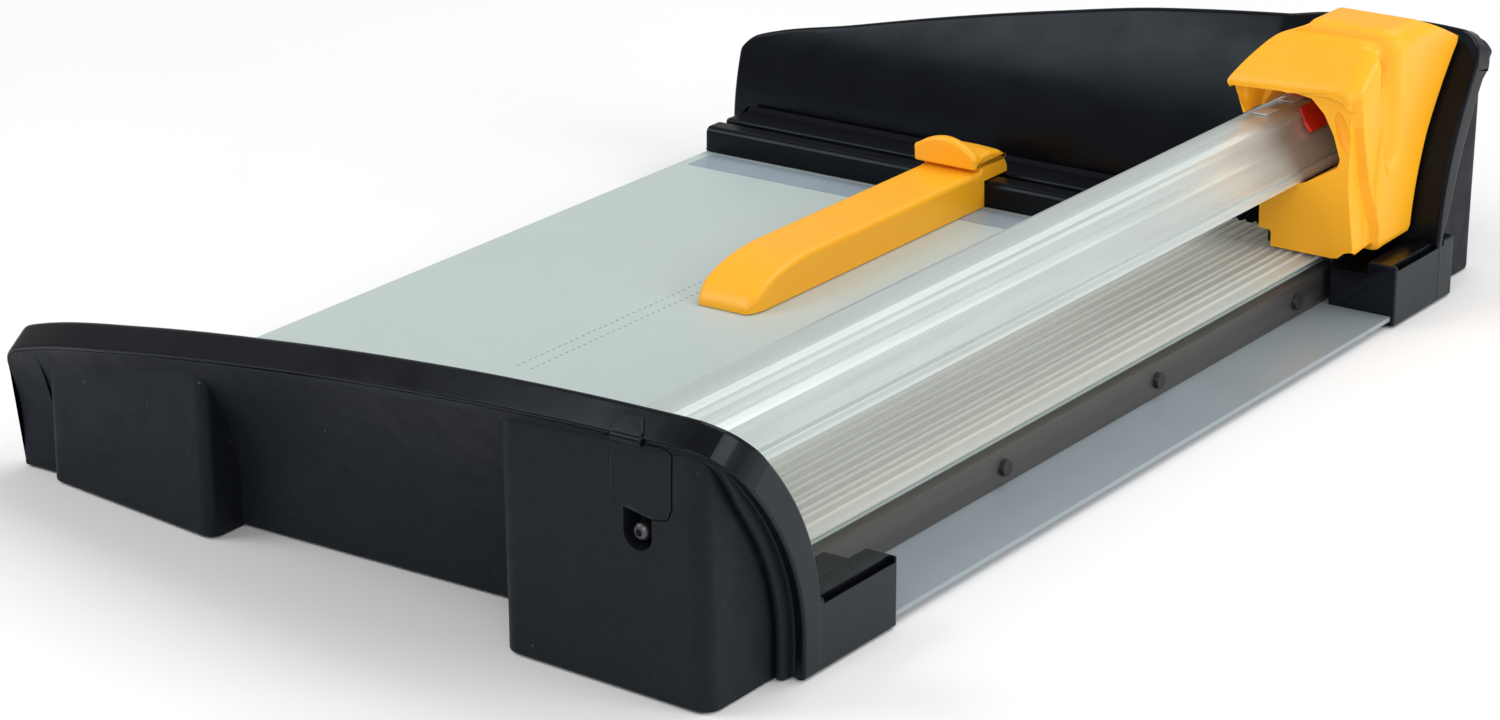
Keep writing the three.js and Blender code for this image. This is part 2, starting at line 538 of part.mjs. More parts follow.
function head() {
  const body = extrudeAlongY(HOOD_OUTLINE, HEAD_FRONT, HEAD_SPLIT);
  const crown = warpedBox(1, 4, 6, (a, b, c) => {
    const z = mix(HEAD_BOTTOM + 2, HEAD_TOP, c);
    const back = farInner(NICHE_END, z) - 1.5;
    const y = mix(HEAD_SPLIT + GAP, Math.min(back, 520), b);
    const left = z < 78 ? -62 : mix(-62, -74, Math.min(1, (z - 78) / 12)) + Math.max(0, z - 100) * 0.7;
    const right = -12.5 - Math.max(0, z - 112) * 0.4;
    return [mix(left, right, a), y, z];
  });
  const railPassage = extrudeAlongY(PASSAGE_OUTLINE, HEAD_FRONT - 20, HEAD_BACK + 48);
  const cavity = block(
    CAVITY_LEFT, HEAD_FRONT + 3, HEAD_BOTTOM - 5, CAVITY_RIGHT, HEAD_BACK - 1, CAVITY_TOP,
  );
  add('head_front_housing', cut(body, railPassage, cavity), yellow);
  add('head_rear_housing', cut(crown, railPassage, cavity), yellow);

  const slider = extrudeAlongY(SLED_OUTLINE, HEAD_FRONT + 5, HEAD_BACK - 3);
  const clearance = extrudeAlongY(railOutline(1), HEAD_FRONT, HEAD_BACK);
  add('head_sled', cut(slider, clearance), red);
  [['front', HEAD_FRONT + 8], ['rear', HEAD_BACK - 16]].forEach(([place, y]) => {
    const pad = block(RAIL_AXIS - 3.5, y, RAIL_TOP + GAP, RAIL_AXIS + 3.5, y + 10, RAIL_TOP + 0.8);
    add(`glide_pad_${place}`, pad, white);
  });

  const holder = block(WHEEL_PLANE + 1.6, WHEEL_Y - 9, HEAD_BOTTOM + 1, -22.5, WHEEL_Y + 9, CAVITY_TOP - 4);
  const holderBore = round('x', AXLE_RADIUS + GAP, 30, WHEEL_PLANE + 10, WHEEL_Y, WHEEL_HEIGHT);
  add('blade_cartridge', cut(holder, holderBore), charcoal);
  const axle = join(
    round('x', AXLE_RADIUS, 14, WHEEL_PLANE + 5.5, WHEEL_Y, WHEEL_HEIGHT, 20),
    round('x', 3.6, 1.2, WHEEL_PLANE - 1.6, WHEEL_Y, WHEEL_HEIGHT, 20),
  );
  add('wheel_axle', axle, steel);
  const bore = AXLE_RADIUS + GAP;
  const ground = WHEEL_RADIUS - 2;
  const disc = turned('x', [
    [bore, -0.4], [ground, -0.4], [WHEEL_RADIUS, 0], [ground, 0.4], [6, 0.4], [6, 1.2], [bore, 1.2],
  ], WHEEL_PLANE + GAP, WHEEL_Y, WHEEL_HEIGHT, 40);
  add('cutting_wheel', disc, steel);

  ROLLERS.forEach(([place, y]) => {
    const half = ROLLER_LENGTH / 2;
    const shoulder = ROLLER_RADIUS - 0.8;
    const tyre = turned('x', [
      [PIN_RADIUS + GAP, -half], [shoulder, -half], [ROLLER_RADIUS, 0.8 - half],
      [ROLLER_RADIUS, half - 0.8], [shoulder, half], [PIN_RADIUS + GAP, half],
    ], ROLLER_X, y, ROLLER_HEIGHT, 20);
    add(`press_roller_${place}`, tyre, rubber);
    add(`roller_pin_${place}`, round('x', PIN_RADIUS, 17, ROLLER_X, y, ROLLER_HEIGHT, 16), steel);
  });
  const yoke = cut(
    block(
      ROLLER_X - 9.2, HEAD_FRONT + 4, ROLLER_HEIGHT - 3, ROLLER_X + 9.2, HEAD_BACK - 4, ROLLER_HEIGHT + 13,
    ),
    ...ROLLERS.map(([, y]) => block(
      ROLLER_X - 7, y - 6, ROLLER_HEIGHT - 4, ROLLER_X + 7, y + 6, ROLLER_HEIGHT + 6,
    )),
    ...ROLLERS.map(([, y]) => round('x', PIN_RADIUS + GAP, 40, ROLLER_X, y, ROLLER_HEIGHT, 16)),
  );
  add('roller_yoke', yoke, charcoal);
}

// ---------------------------------------------------------------- paper side guide
function paperGuide() {
  const low = TABLE_TOP + GAP;
  const top = LEDGE_TOP + GAP;
  const half = GUIDE_WIDTH / 2;
  const left = GUIDE_CENTRE - half;
  const right = GUIDE_CENTRE + half;
  const bend = half - GUIDE_CORNER;
  const plan = new THREE.Shape();
  plan.moveTo(-half, LEDGE_FRONT - GAP);
  plan.lineTo(-half, GUIDE_TIP + GUIDE_CORNER);
  plan.quadraticCurveTo(-half, GUIDE_TIP, -bend, GUIDE_TIP);
  plan.lineTo(bend, GUIDE_TIP);
  plan.quadraticCurveTo(half, GUIDE_TIP, half, GUIDE_TIP + GUIDE_CORNER);
  plan.lineTo(half, LEDGE_FRONT - GAP);
  const profile = { depth: GUIDE_HEIGHT, bevelEnabled: false, curveSegments: 5 };
  const bar = new THREE.ExtrudeGeometry(plan, profile);
  bar.translate(GUIDE_CENTRE, 0, low);
  const saddle = block(left, LEDGE_FRONT - 3, low + 10, right, LEDGE_FRONT + 19, LEVER_PIN_Z + 2.7);
  const overLedge = block(left - 1, LEDGE_FRONT - GAP, low, right + 1, LEDGE_FRONT + 60, top);
  const nose = extrudeAlongX([
    [GUIDE_TIP - 1, low + 3], [GUIDE_TIP - 1, low + 30], [GUIDE_TIP + 70, low + 30],
    [GUIDE_TIP + 46, low + GUIDE_HEIGHT], [GUIDE_TIP + 18, low + 14], [GUIDE_TIP + 5, low + 9],
  ], left - 1, right + 1);
  const bay = block(
    GUIDE_CENTRE - LEVER_HALF - 0.5, LEDGE_FRONT - 3, top + 1.5,
    GUIDE_CENTRE + LEVER_HALF + 0.5, LEDGE_FRONT + 16, low + 60,
  );
  const pinHole = round('x', PIN_RADIUS + GAP, 60, GUIDE_CENTRE, LEVER_PIN_Y, LEVER_PIN_Z, 16);
  const arm = cut(join(toSolid(bar), cut(saddle, overLedge)), nose, bay, pinHole);
  add('paper_guide', arm, yellow);

  const tongue = block(
    GUIDE_CENTRE - 6, GROOVE_FRONT + 1.1, LEDGE_TOP - 3.4, GUIDE_CENTRE + 6, GROOVE_BACK - 1.1, LEDGE_TOP,
  );
  add('guide_shoe', tongue, charcoal);
  const pin = round('x', PIN_RADIUS, 27, GUIDE_CENTRE, LEVER_PIN_Y, LEVER_PIN_Z, 16);
  add('guide_lever_pin', pin, steel);
  // Thumb plate: each corner is given from the pin.
  const lever = [
    [-4, -1.8], [3, -2.2], [12.6, 0], [13, 3.1], [17, 3.1], [17, 5.2], [3, 7.5], [-5.5, 9], [-6.5, 13.6],
    [-10.5, 12.8], [-10.5, 2.4], [-4.5, 2.4],
  ].map(([y, z]) => [LEVER_PIN_Y + y, LEVER_PIN_Z + z]);
  const plate = extrudeAlongX(lever, GUIDE_CENTRE - LEVER_HALF, GUIDE_CENTRE + LEVER_HALF);
  add('guide_lever', cut(plate, pinHole), yellow);
}

// ---------------------------------------------------------------- rail lock and its flap
// The flap's leaning plate: grow widens it all round, and extra lengthens it outwards.
function flapPlate(grow = 0, extra = 0) {
  const outline = [
    [-51.2 - grow, 71.3 - grow], [-33, 68.4 - grow], [-26.4, 69.9 - grow], [-24.5 + grow, 73],
    [-24 + grow, 98 + grow], [-49 - grow, 98 + grow], [-51.5 - grow, 85],
  ];
  const depth = FLAP_SHEET + extra + grow;
  const plate = new THREE.ExtrudeGeometry(shapeOf(outline), { depth, bevelEnabled: false });
  plate.rotateX(Math.PI / 2);
  const corner = plate.attributes.position;
  for (let i = 0; i < corner.count; i += 1) {
    const out = FLAP_SLOPE * Math.max(0, corner.getZ(i) - 70);
    corner.setY(i, corner.getY(i) + FLAP_FACE + grow - out);
  }
  return toSolid(plate);
}

function railLock() {
  const { x, y, z } = FLAP_PIN;
  const knuckle = round('x', 2, 9, x, y, z, 16);
  const bore = round('x', 1.2, 20, x, y, z, 16);
  add('lock_flap', cut(join(flapPlate(), knuckle), bore), charcoal);
  add('lock_flap_pin', round('x', 0.9, 12, x, y, z, 12), steel);
  const screw = join(
    round('y', 3.4, 4, LOCK.x, -41, LOCK.z, 20),
    round('y', 2, 12, LOCK.x, -33, LOCK.z, 16),
  );
  add('lock_screw', screw, steel);
}

// ---------------------------------------------------------------- rubber feet
// Recesses for the rubber feet in the undersides of the covers.
function footWells() {
  return RUBBER_FEET.map(([x, y, radius]) => round('z', radius + GAP, 4, x, y, SOLE - 0.4, 20));
}

function rubberFeet() {
  RUBBER_FEET.forEach(([x, y, radius], i) => {
    add(`rubber_foot_${i + 1}`, round('z', radius, 2, x, y, 1, 20), rubber);
  });
}

nearCap();
farCap();
table();
rail();
clamp();
head();
paperGuide();
railLock();
rubberFeet();

const box = new THREE.Box3().setFromObject(trimmer);
const centre = box.getCenter(new THREE.Vector3());
trimmer.position.set(-centre.x, -centre.y, -box.min.z);

export default trimmer;
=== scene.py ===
import math

import bmesh
import bpy
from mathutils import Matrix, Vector


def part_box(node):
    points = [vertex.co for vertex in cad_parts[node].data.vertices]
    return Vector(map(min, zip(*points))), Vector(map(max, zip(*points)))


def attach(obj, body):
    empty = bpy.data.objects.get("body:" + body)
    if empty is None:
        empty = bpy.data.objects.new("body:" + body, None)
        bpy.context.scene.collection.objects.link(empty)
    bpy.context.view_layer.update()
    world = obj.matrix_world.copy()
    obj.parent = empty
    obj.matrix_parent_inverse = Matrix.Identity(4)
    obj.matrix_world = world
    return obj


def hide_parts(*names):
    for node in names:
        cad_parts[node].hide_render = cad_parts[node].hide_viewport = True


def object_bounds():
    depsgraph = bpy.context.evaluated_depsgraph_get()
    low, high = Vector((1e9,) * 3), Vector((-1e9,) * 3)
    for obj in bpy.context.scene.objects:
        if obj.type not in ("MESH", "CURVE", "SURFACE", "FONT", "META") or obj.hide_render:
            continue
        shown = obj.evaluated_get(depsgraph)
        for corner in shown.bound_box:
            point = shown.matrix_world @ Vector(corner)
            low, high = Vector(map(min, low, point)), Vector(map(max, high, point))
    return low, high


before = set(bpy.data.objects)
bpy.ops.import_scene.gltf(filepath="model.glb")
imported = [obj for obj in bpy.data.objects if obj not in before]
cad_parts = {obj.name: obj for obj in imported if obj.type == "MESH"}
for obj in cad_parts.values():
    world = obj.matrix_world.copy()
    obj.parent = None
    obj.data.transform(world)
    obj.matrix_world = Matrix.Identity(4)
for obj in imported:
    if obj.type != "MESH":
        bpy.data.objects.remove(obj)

cad_low, cad_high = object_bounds()

# ------------------------------------------------------------------ places
# Shapes below are in millimetres: x from the right-hand end of the caps, y from the foot of the
# near cap's outer face, z from the surface that the trimmer stands on.
TABLE_SETBACK = 12.0
ORIGIN = Vector((cad_high.x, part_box("work_table")[0].y - TABLE_SETBACK / 1000, 0))


def at(x, y, z):
    return ORIGIN + Vector((x, y, z)) / 1000


def span(node):
    """Lowest and highest corner of a CAD node, in the millimetres used for shapes."""
    low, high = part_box(node)
    return (low - ORIGIN) * 1000, (high - ORIGIN) * 1000


def middle_of(node):
    low, high = span(node)
    return (low + high) / 2


SOLE = 0.8  # height of the caps' lower edges
table = span("work_table")
LENGTH = (cad_high.x - cad_low.x) * 1000
TABLE_TOP = table[1].z
LEDGE = span("alignment_ledge")
RAIL = span("guide_rail")
RAIL_AXIS = middle_of("guide_rail").x
RAIL_TOP = RAIL[1].z
HEAD_FRONT = span("head_front_housing")[0].y
STRIP = span("clamp_strip")
KNIFE = span("lower_knife")
GUIDE = span("paper_guide")
GUIDE_CENTRE = middle_of("paper_guide").x


# ------------------------------------------------------------------ curves
def steady_curve(points):
    """Smooth y(x) through the points that never overshoots them."""
    xs = [p[0] for p in points]
    ys = [p[1] for p in points]
    steps = [(ys[i + 1] - ys[i]) / (xs[i + 1] - xs[i]) for i in range(len(xs) - 1)]
    slopes = [steps[0]]
    for before, after in zip(steps, steps[1:]):
        slopes.append(0 if before * after <= 0 else 2 * before * after / (before + after))
    slopes.append(steps[-1])

    def value(x):
        if x <= xs[0]:
            return ys[0]
        if x >= xs[-1]:
            return ys[-1]
        i = max(k for k in range(len(xs) - 1) if xs[k] <= x)
        width = xs[i + 1] - xs[i]
        t = (x - xs[i]) / width
        rise = (2 * t**3 - 3 * t**2 + 1) * ys[i] + (3 * t**2 - 2 * t**3) * ys[i + 1]
        return rise + width * ((t**3 - 2 * t**2 + t) * slopes[i] + (t**3 - t**2) * slopes[i + 1])

    return value


def mix(a, b, t):
    return a + (b - a) * t


def ramp(value, low, high):
    """0 below low, 1 above high, smooth between them."""
    t = min(1, max(0, (value - low) / (high - low)))
    return t * t * (3 - 2 * t)


def fillet(corners, segments=5):
    """Closed or open outline from (u, v, radius) corners, each turned into an arc."""
    outline = []
    count = len(corners)
    for i, (u, v, radius) in enumerate(corners):
        here = Vector((u, v))
        if radius == 0:
            outline.append((u, v))
            continue
        before = Vector(corners[i - 1][:2]) - here
        after = Vector(corners[(i + 1) % count][:2]) - here
        half = before.angle(after) / 2
        reach = min(radius / math.tan(half), before.length * 0.49, after.length * 0.49)
        start = here + before.normalized() * reach
        end = here + after.normalized() * reach
        centre = here + (before.normalized() + after.normalized()).normalized() * reach / math.cos(half)
        for k in range(segments + 1):
            way = (start - centre).lerp(end - centre, k / segments)
            outline.append(tuple(centre + way.normalized() * (start - centre).length))
    return outline


def inset(ring, amount):
    """The ring of (u, v) points moved towards its inside."""
    area = sum(a[0] * b[1] - b[0] * a[1] for a, b in zip(ring, ring[1:] + ring[:1]))
    turn = 1 if area > 0 else -1
    moved = []
    for i, here in enumerate(ring):
        along = Vector(ring[(i + 1) % len(ring)]) - Vector(ring[i - 1])
        normal = Vector((-along.y, along.x)).normalized() * turn if along.length else Vector((0, 0))
        moved.append((here[0] + normal.x * amount, here[1] + normal.y * amount))
    return moved


def resample(points, count):
    """The open polyline divided into count equal steps."""
    vectors = [Vector(p) for p in points]
    lengths = [0]
    for a, b in zip(vectors, vectors[1:]):
        lengths.append(lengths[-1] + (b - a).length)
    result = []
    piece = 0
    for k in range(count + 1):
        target = lengths[-1] * k / count
        while piece < len(lengths) - 2 and lengths[piece + 1] < target:
            piece += 1
        width = lengths[piece + 1] - lengths[piece]
        t = (target - lengths[piece]) / width if width else 0
        result.append(vectors[piece].lerp(vectors[piece + 1], min(1, t)))
    return result


# ------------------------------------------------------------------ meshes
def make_object(name, points, faces):
    """A mesh object from points in millimetres, with doubled points merged and faces turned outwards."""
    mesh = bpy.data.meshes.new(name)
    mesh.from_pydata([at(*p) for p in points], [], faces)
    model = bmesh.new()
    model.from_mesh(mesh)
    bmesh.ops.remove_doubles(model, verts=model.verts, dist=2e-6)
    bmesh.ops.dissolve_degenerate(model, edges=model.edges, dist=2e-6)
    bmesh.ops.recalc_face_normals(model, faces=model.faces)
    model.to_mesh(mesh)
    model.free()
    piece = bpy.data.objects.new(name, mesh)
    bpy.context.scene.collection.objects.link(piece)
    return piece


def loft(name, rings):
    """Closed solid through rings of equal length, each a list of (x, y, z)."""
    size = len(rings[0])
    points = [p for ring in rings for p in ring]
    faces = []
    for r in range(len(rings) - 1):
        for i in range(size):
            j = (i + 1) % size
            a, b = r * size, (r + 1) * size
            faces.append((a + i, a + j, b + j, b + i))
    faces.append(tuple(range(size)))
    faces.append(tuple(range((len(rings) - 1) * size, len(rings) * size)))
    return make_object(name, points, faces)


def prism_y(outline, start, end):
    """Cutter: outline in x-z carried straight along y."""
    return loft("cutter", [[(u, y, v) for u, v in outline] for y in (start, end)])


def prism_z(outline, low, high):
    """Cutter: outline in x-y carried straight up."""
    return loft("cutter", [[(u, v, z) for u, v in outline] for z in (low, high)])


def half_turn(steps):
    return [math.pi * k / steps for k in range(steps + 1)]


def circle(u, v, radius, steps=20):
    """Points round a circle, starting from its right-hand side."""
    turns = [2 * math.pi * k / steps for k in range(steps)]
    return [(u + radius * math.cos(a), v + radius * math.sin(a)) for a in turns]


def rounded_stops(start, end, radius, steps=3):
    """(place, inset) pairs that round both ends of a swept outline."""
    turns = [math.pi / 2 * k / steps for k in range(steps + 1)]
    first = [(start + radius * (1 - math.sin(a)), radius * (1 - math.cos(a))) for a in reversed(turns)]
    last = [(end - (place - start), amount) for place, amount in reversed(first)]
    return first + last


def sweep_y(name, outline, start, end, radius=0.4):
    """Outline in x-z carried along y, with rounded ends."""
    rings = [[(u, y, v) for u, v in inset(outline, cut)] for y, cut in rounded_stops(start, end, radius)]
    return loft(name, rings)


def sweep_x(name, outline, start, end, radius=0.4):
    """Outline in y-z carried along x, with rounded ends."""
    rings = [[(x, u, v) for u, v in inset(outline, cut)] for x, cut in rounded_stops(start, end, radius)]
    return loft(name, rings)


def slab(name, counts, place):
    """Closed surface of a box of cells, each corner of which goes to place(a, b, c), with a, b, c in 0..1."""
    number = {}
    points = []
    faces = []

    def corner(*key):
        if key not in number:
            number[key] = len(points)
            points.append(place(*(k / n for k, n in zip(key, counts))))
        return number[key]

    for axis in range(3):
        u, v = (axis + 1) % 3, (axis + 2) % 3
        for side in (0, counts[axis]):
            for i in range(counts[u]):
                for j in range(counts[v]):
                    face = []
                    for di, dj in ((0, 0), (1, 0), (1, 1), (0, 1)):
                        key = [0, 0, 0]
                        key[axis], key[u], key[v] = side, i + di, j + dj
                        face.append(corner(*key))
                    faces.append(face)
    return make_object(name, points, faces)


def settle(piece):
    """Applies the piece's modifiers to its mesh."""
    graph = bpy.context.evaluated_depsgraph_get()
    mesh = bpy.data.meshes.new_from_object(piece.evaluated_get(graph))
    piece.modifiers.clear()
    piece.data = mesh
    return piece


def combine(piece, others, operation="DIFFERENCE"):
    """Cuts the others from the piece, or joins them to it, and removes them."""
    for other in others:
        change = piece.modifiers.new("combine", "BOOLEAN")
        change.operation = operation
        change.solver = "MANIFOLD"
        change.object = other
    settle(piece)
    for other in others:
        bpy.data.objects.remove(other)
    return piece


def merge_flat_faces(piece):
    """Joins neighbouring faces that lie in one plane."""
    model = bmesh.new()
    model.from_mesh(piece.data)
    bmesh.ops.dissolve_limit(model, angle_limit=math.radians(0.3), verts=model.verts, edges=model.edges)
    model.to_mesh(piece.data)
    model.free()


def ellipsoid(centre, radii, tilt=0):
    """A round cutter: radii along x, y and z, tilted about y."""
    model = bmesh.new()
    bmesh.ops.create_icosphere(model, subdivisions=4, radius=1)
    points = []
    for vert in model.verts:
        x, y, z = (c * r for c, r in zip(vert.co, radii))
        turned = (x * math.cos(tilt) + z * math.sin(tilt), y, z * math.cos(tilt) - x * math.sin(tilt))
        points.append(tuple(a + b for a, b in zip(turned, centre)))
    faces = [[v.index for v in f.verts] for f in model.faces]
    model.free()
    return make_object("cutter", points, faces)


def put_on(piece, body, finish, replaced=(), bevel=0, crease=35):
    """Gives a piece its edges, smooth shading, material and body, and hides the CAD nodes that it stands for.
    """
    if bevel:
        edge = piece.modifiers.new("edge", "BEVEL")
        edge.width = bevel / 1000
        edge.segments = 3
        edge.limit_method = "ANGLE"
        edge.angle_limit = math.radians(40)
        settle(piece)
    for face in piece.data.polygons:
        face.use_smooth = True
    piece.data.set_sharp_from_angle(angle=math.radians(crease))
    even = piece.modifiers.new("even", "WEIGHTED_NORMAL")
    even.keep_sharp = True
    settle(piece)
    piece.data.materials.clear()
    piece.data.materials.append(finish)
    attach(piece, body)
    if replaced:
        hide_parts(*replaced)
    return piece


# ------------------------------------------------------------------ materials
class Surface:
    """A procedural material: a shader with noise layers in the object's own coordinates."""

    def __init__(self, name, colour, roughness, metallic=0.0, sockets=None):
        self.material = bpy.data.materials.new(name)
        self.material.use_nodes = True
        self.nodes = self.material.node_tree.nodes
        self.links = self.material.node_tree.links
        self.shader = self.nodes["Principled BSDF"]
        self.colour = (*colour, 1)
        self.shader.inputs["Base Color"].default_value = self.colour
        self.shader.inputs["Roughness"].default_value = roughness
        self.shader.inputs["Metallic"].default_value = metallic
        for socket, value in (sockets or {}).items():
            self.shader.inputs[socket].default_value = value
        self.place = self.nodes.new("ShaderNodeTexCoord").outputs["Object"]
        self.tint = None
        self.normal = None

    def noise(self, scale, detail=3.0, stretch=(1, 1, 1), distortion=0.0):
        place = self.nodes.new("ShaderNodeMapping")
        place.inputs["Scale"].default_value = stretch
        self.links.new(self.place, place.inputs["Vector"])
        cloud = self.nodes.new("ShaderNodeTexNoise")
        cloud.inputs["Scale"].default_value = scale
        cloud.inputs["Detail"].default_value = detail
        cloud.inputs["Distortion"].default_value = distortion
        self.links.new(place.outputs["Vector"], cloud.inputs["Vector"])
        return cloud.outputs["Fac"]

    def remap(self, value, low, high, start=0.3, stop=0.7):
        scale = self.nodes.new("ShaderNodeMapRange")
        scale.inputs["From Min"].default_value = start
        scale.inputs["From Max"].default_value = stop
        scale.inputs["To Min"].default_value = low
        scale.inputs["To Max"].default_value = high
        self.links.new(value, scale.inputs["Value"])
        return scale.outputs["Result"]

    def shade(self, mask, colour):
        """Mixes in a colour where the mask is 1."""
        blend = self.nodes.new("ShaderNodeMix")
        blend.data_type = "RGBA"
        blend.inputs[6].default_value = self.colour
        blend.inputs[7].default_value = (*colour, 1)
        if self.tint:
            self.links.new(self.tint, blend.inputs[6])
        self.links.new(mask, blend.inputs[0])
        self.tint = blend.outputs[2]
        self.links.new(self.tint, self.shader.inputs["Base Color"])
        return self

    def rough(self, value):
        self.links.new(value, self.shader.inputs["Roughness"])
        return self

    def bump(self, height, depth, strength=0.5):
        """Adds a bump layer, depth in millimetres."""
        layer = self.nodes.new("ShaderNodeBump")
        layer.inputs["Strength"].default_value = strength
        layer.inputs["Distance"].default_value = depth / 1000
        self.links.new(height, layer.inputs["Height"])
        if self.normal:
            self.links.new(self.normal, layer.inputs["Normal"])
        self.normal = layer.outputs["Normal"]
        self.links.new(self.normal, self.shader.inputs["Normal"])
        return self

    def lit_right_face(self, height):
        """1 on the cap's right-hand face below the height in metres, 0 elsewhere; where light from the right
        is painted as a lighter colour.
        """
        axes = self.nodes.new("ShaderNodeSeparateXYZ")
        self.links.new(self.place, axes.inputs["Vector"])
        side = self.remap(axes.outputs["X"], 0.0, 1.0, cad_high.x - 0.0012, cad_high.x - 0.0004)
        below = self.remap(axes.outputs["Z"], 1.0, 0.0, height - 0.0006, height)
        both = self.nodes.new("ShaderNodeMath")
        both.operation = "MULTIPLY"
        self.links.new(side, both.inputs[0])
        self.links.new(below, both.inputs[1])
        return both.outputs["Value"]

    def edges(self):
        """1 on outer edges, 0 elsewhere; used to paint lighter edge highlights."""
        shape = self.nodes.new("ShaderNodeNewGeometry").outputs["Pointiness"]
        return self.remap(shape, 0.0, 1.0, 0.53, 0.6)


def darker(colour, amount):
    return tuple(c * amount for c in colour)


SLATE_TINT = (0.75, 0.9, 1, 1)


def gloss_black(name, painted_light_height):
    """Polished black; its right-hand face below the given height is painted a lighter slate, painted light
    from the right.
    """
    colour = (0.0026, 0.0028, 0.0042)
    s = Surface(name, colour, 0.2, sockets={"Specular IOR Level": 0.16, "Specular Tint": SLATE_TINT})
    s.shade(s.remap(s.noise(30), 0.0, 0.5), darker(colour, 1.7))
    # painted highlight: outer edges lighter
    s.shade(s.remap(s.edges(), 0.0, 0.35, 0.0, 1.0), (0.018, 0.02, 0.027))
    # painted light: the right-hand face lighter, as if lit from the right
    s.shade(s.lit_right_face(painted_light_height), (0.0095, 0.0135, 0.016))
    s.rough(s.remap(s.noise(55, 5.0), 0.17, 0.3))
    s.bump(s.noise(260, 2.0), 0.05, 0.22)
    s.bump(s.noise(2600, 2.0), 0.02, 0.2)
    return s.material


def charcoal():
    colour = (0.0072, 0.0086, 0.0116)
    s = Surface("charcoal", colour, 0.5, sockets={"Specular IOR Level": 0.14, "Specular Tint": SLATE_TINT})
    s.shade(s.remap(s.noise(14), 0.0, 0.6), darker(colour, 1.35))
    s.shade(s.remap(s.noise(420, 4.0), 0.0, 0.55, 0.52, 0.8), darker(colour, 1.9))
    s.shade(s.remap(s.noise(330, 1.0), 0.0, 0.5, 0.79, 0.83), (0.1, 0.1, 0.105))
    # painted highlight: outer edges lighter
    s.shade(s.remap(s.edges(), 0.0, 0.45, 0.0, 1.0), (0.028, 0.034, 0.041))
    s.rough(s.remap(s.noise(90, 5.0), 0.42, 0.56))
    s.bump(s.noise(1500, 4.0), 0.1, 0.45)
    return s.material


def enamel(name, colour, roughness):
    s = Surface(name, colour, roughness, sockets={"Coat Weight": 0.25, "Coat Roughness": 0.25})
    s.shade(s.remap(s.noise(7, 4.0), 0.0, 0.5), darker(colour, 0.93))
    s.shade(s.remap(s.noise(900, 3.0), 0.0, 0.35, 0.5, 0.75), darker(colour, 1.12))
    fine = s.noise(900, 2.0, (0.06, 1, 1))
    s.shade(s.remap(fine, 0.0, 0.22, 0.62, 0.78), darker(colour, 0.8))
    s.rough(s.remap(s.noise(40, 5.0), roughness - 0.06, roughness + 0.08))
    s.bump(s.noise(700, 3.0), 0.04, 0.3)
    return s.material


def brushed(name, colour, roughness, along, metallic=1.0, depth=0.03):
    """Metal drawn or ground along one axis."""
    stretch = tuple(0.012 if axis == along else 1 for axis in "xyz")
    s = Surface(name, colour, roughness, metallic)
    lines = s.noise(1400, 4.0, stretch)
    s.shade(s.remap(lines, 0.0, 0.7), darker(colour, 0.86))
    s.shade(s.remap(s.noise(16, 4.0), 0.0, 0.3), darker(colour, 1.1))
    s.rough(s.remap(s.noise(300, 4.0, stretch), roughness - 0.07, roughness + 0.1))
    s.bump(lines, depth, 0.35)
    return s.material


def clear_plastic():
    colour = (0.93, 0.93, 0.87)
    s = Surface("clear", colour, 0.12, sockets={"Alpha": 0.46, "Specular IOR Level": 0.7, "IOR": 1.49})
    s.shade(s.remap(s.noise(60, 3.0, (1, 0.08, 1)), 0.0, 0.7), (0.78, 0.77, 0.7))
    s.rough(s.remap(s.noise(120, 4.0), 0.08, 0.2))
    s.bump(s.noise(220, 2.0, (1, 0.2, 1)), 0.06, 0.3)
    return s.material


def yellow():
    colour = (1.0, 0.46, 0.016)
    s = Surface("yellow", colour, 0.36, sockets={
        "Specular IOR Level": 0.36, "Subsurface Weight": 0.08, "Subsurface Scale": 0.003,
    })
    s.shade(s.remap(s.noise(18, 3.0), 0.0, 0.5), (1.0, 0.42, 0.012))
    s.shade(s.remap(s.noise(700, 3.0), 0.0, 0.3, 0.5, 0.8), (1.0, 0.49, 0.03))
    # painted highlight: outer edges lighter
    s.shade(s.remap(s.edges(), 0.0, 0.4, 0.0, 1.0), (1.0, 0.52, 0.06))
    s.rough(s.remap(s.noise(80, 5.0), 0.3, 0.44))
    s.bump(s.noise(1100, 3.0), 0.05, 0.28)
    return s.material


def moulded(name, colour, roughness, grain=1400, depth=0.06):
    s = Surface(name, colour, roughness)
    s.shade(s.remap(s.noise(35, 3.0), 0.0, 0.6), darker(colour, 1.35))
    s.shade(s.remap(s.noise(600, 3.0), 0.0, 0.5, 0.5, 0.8), darker(colour, 0.7))
    s.rough(s.remap(s.noise(90, 4.0), roughness - 0.06, roughness + 0.08))
    s.bump(s.noise(grain, 3.0), depth, 0.4)
    return s.material


GLOSS_BLACK = gloss_black("gloss_black", 0.115)
FAR_BLACK = gloss_black("far_gloss_black", 0.029)
CHARCOAL = charcoal()
TABLE_GREY = enamel("table_grey", (0.5, 0.585, 0.57), 0.42)
BASE_GREY = enamel("base_grey", (0.28, 0.33, 0.36), 0.36)
STEEL = brushed("steel", (0.62, 0.63, 0.64), 0.28, "x")
KNIFE_STEEL = brushed("knife_steel", (0.17, 0.16, 0.15), 0.38, "y", 0.85)
ALUMINIUM = brushed("aluminium", (0.66, 0.73, 0.71), 0.34, "y", 0.55)
CLEAR = clear_plastic()
YELLOW = yellow()
RED = moulded("red", (0.66, 0.028, 0.014), 0.42)
RUBBER = moulded("rubber", (0.012, 0.012, 0.013), 0.85, 2200, 0.15)
DARK_STEEL = brushed("dark_steel", (0.1, 0.1, 0.105), 0.34, "x", 0.9)
RULER_BLUE = enamel("ruler_blue", (0.3, 0.37, 0.43), 0.45)
WHITE = moulded("white", (0.62, 0.66, 0.69), 0.5)
PRINT = moulded("print", (0.2, 0.23, 0.25), 0.6)

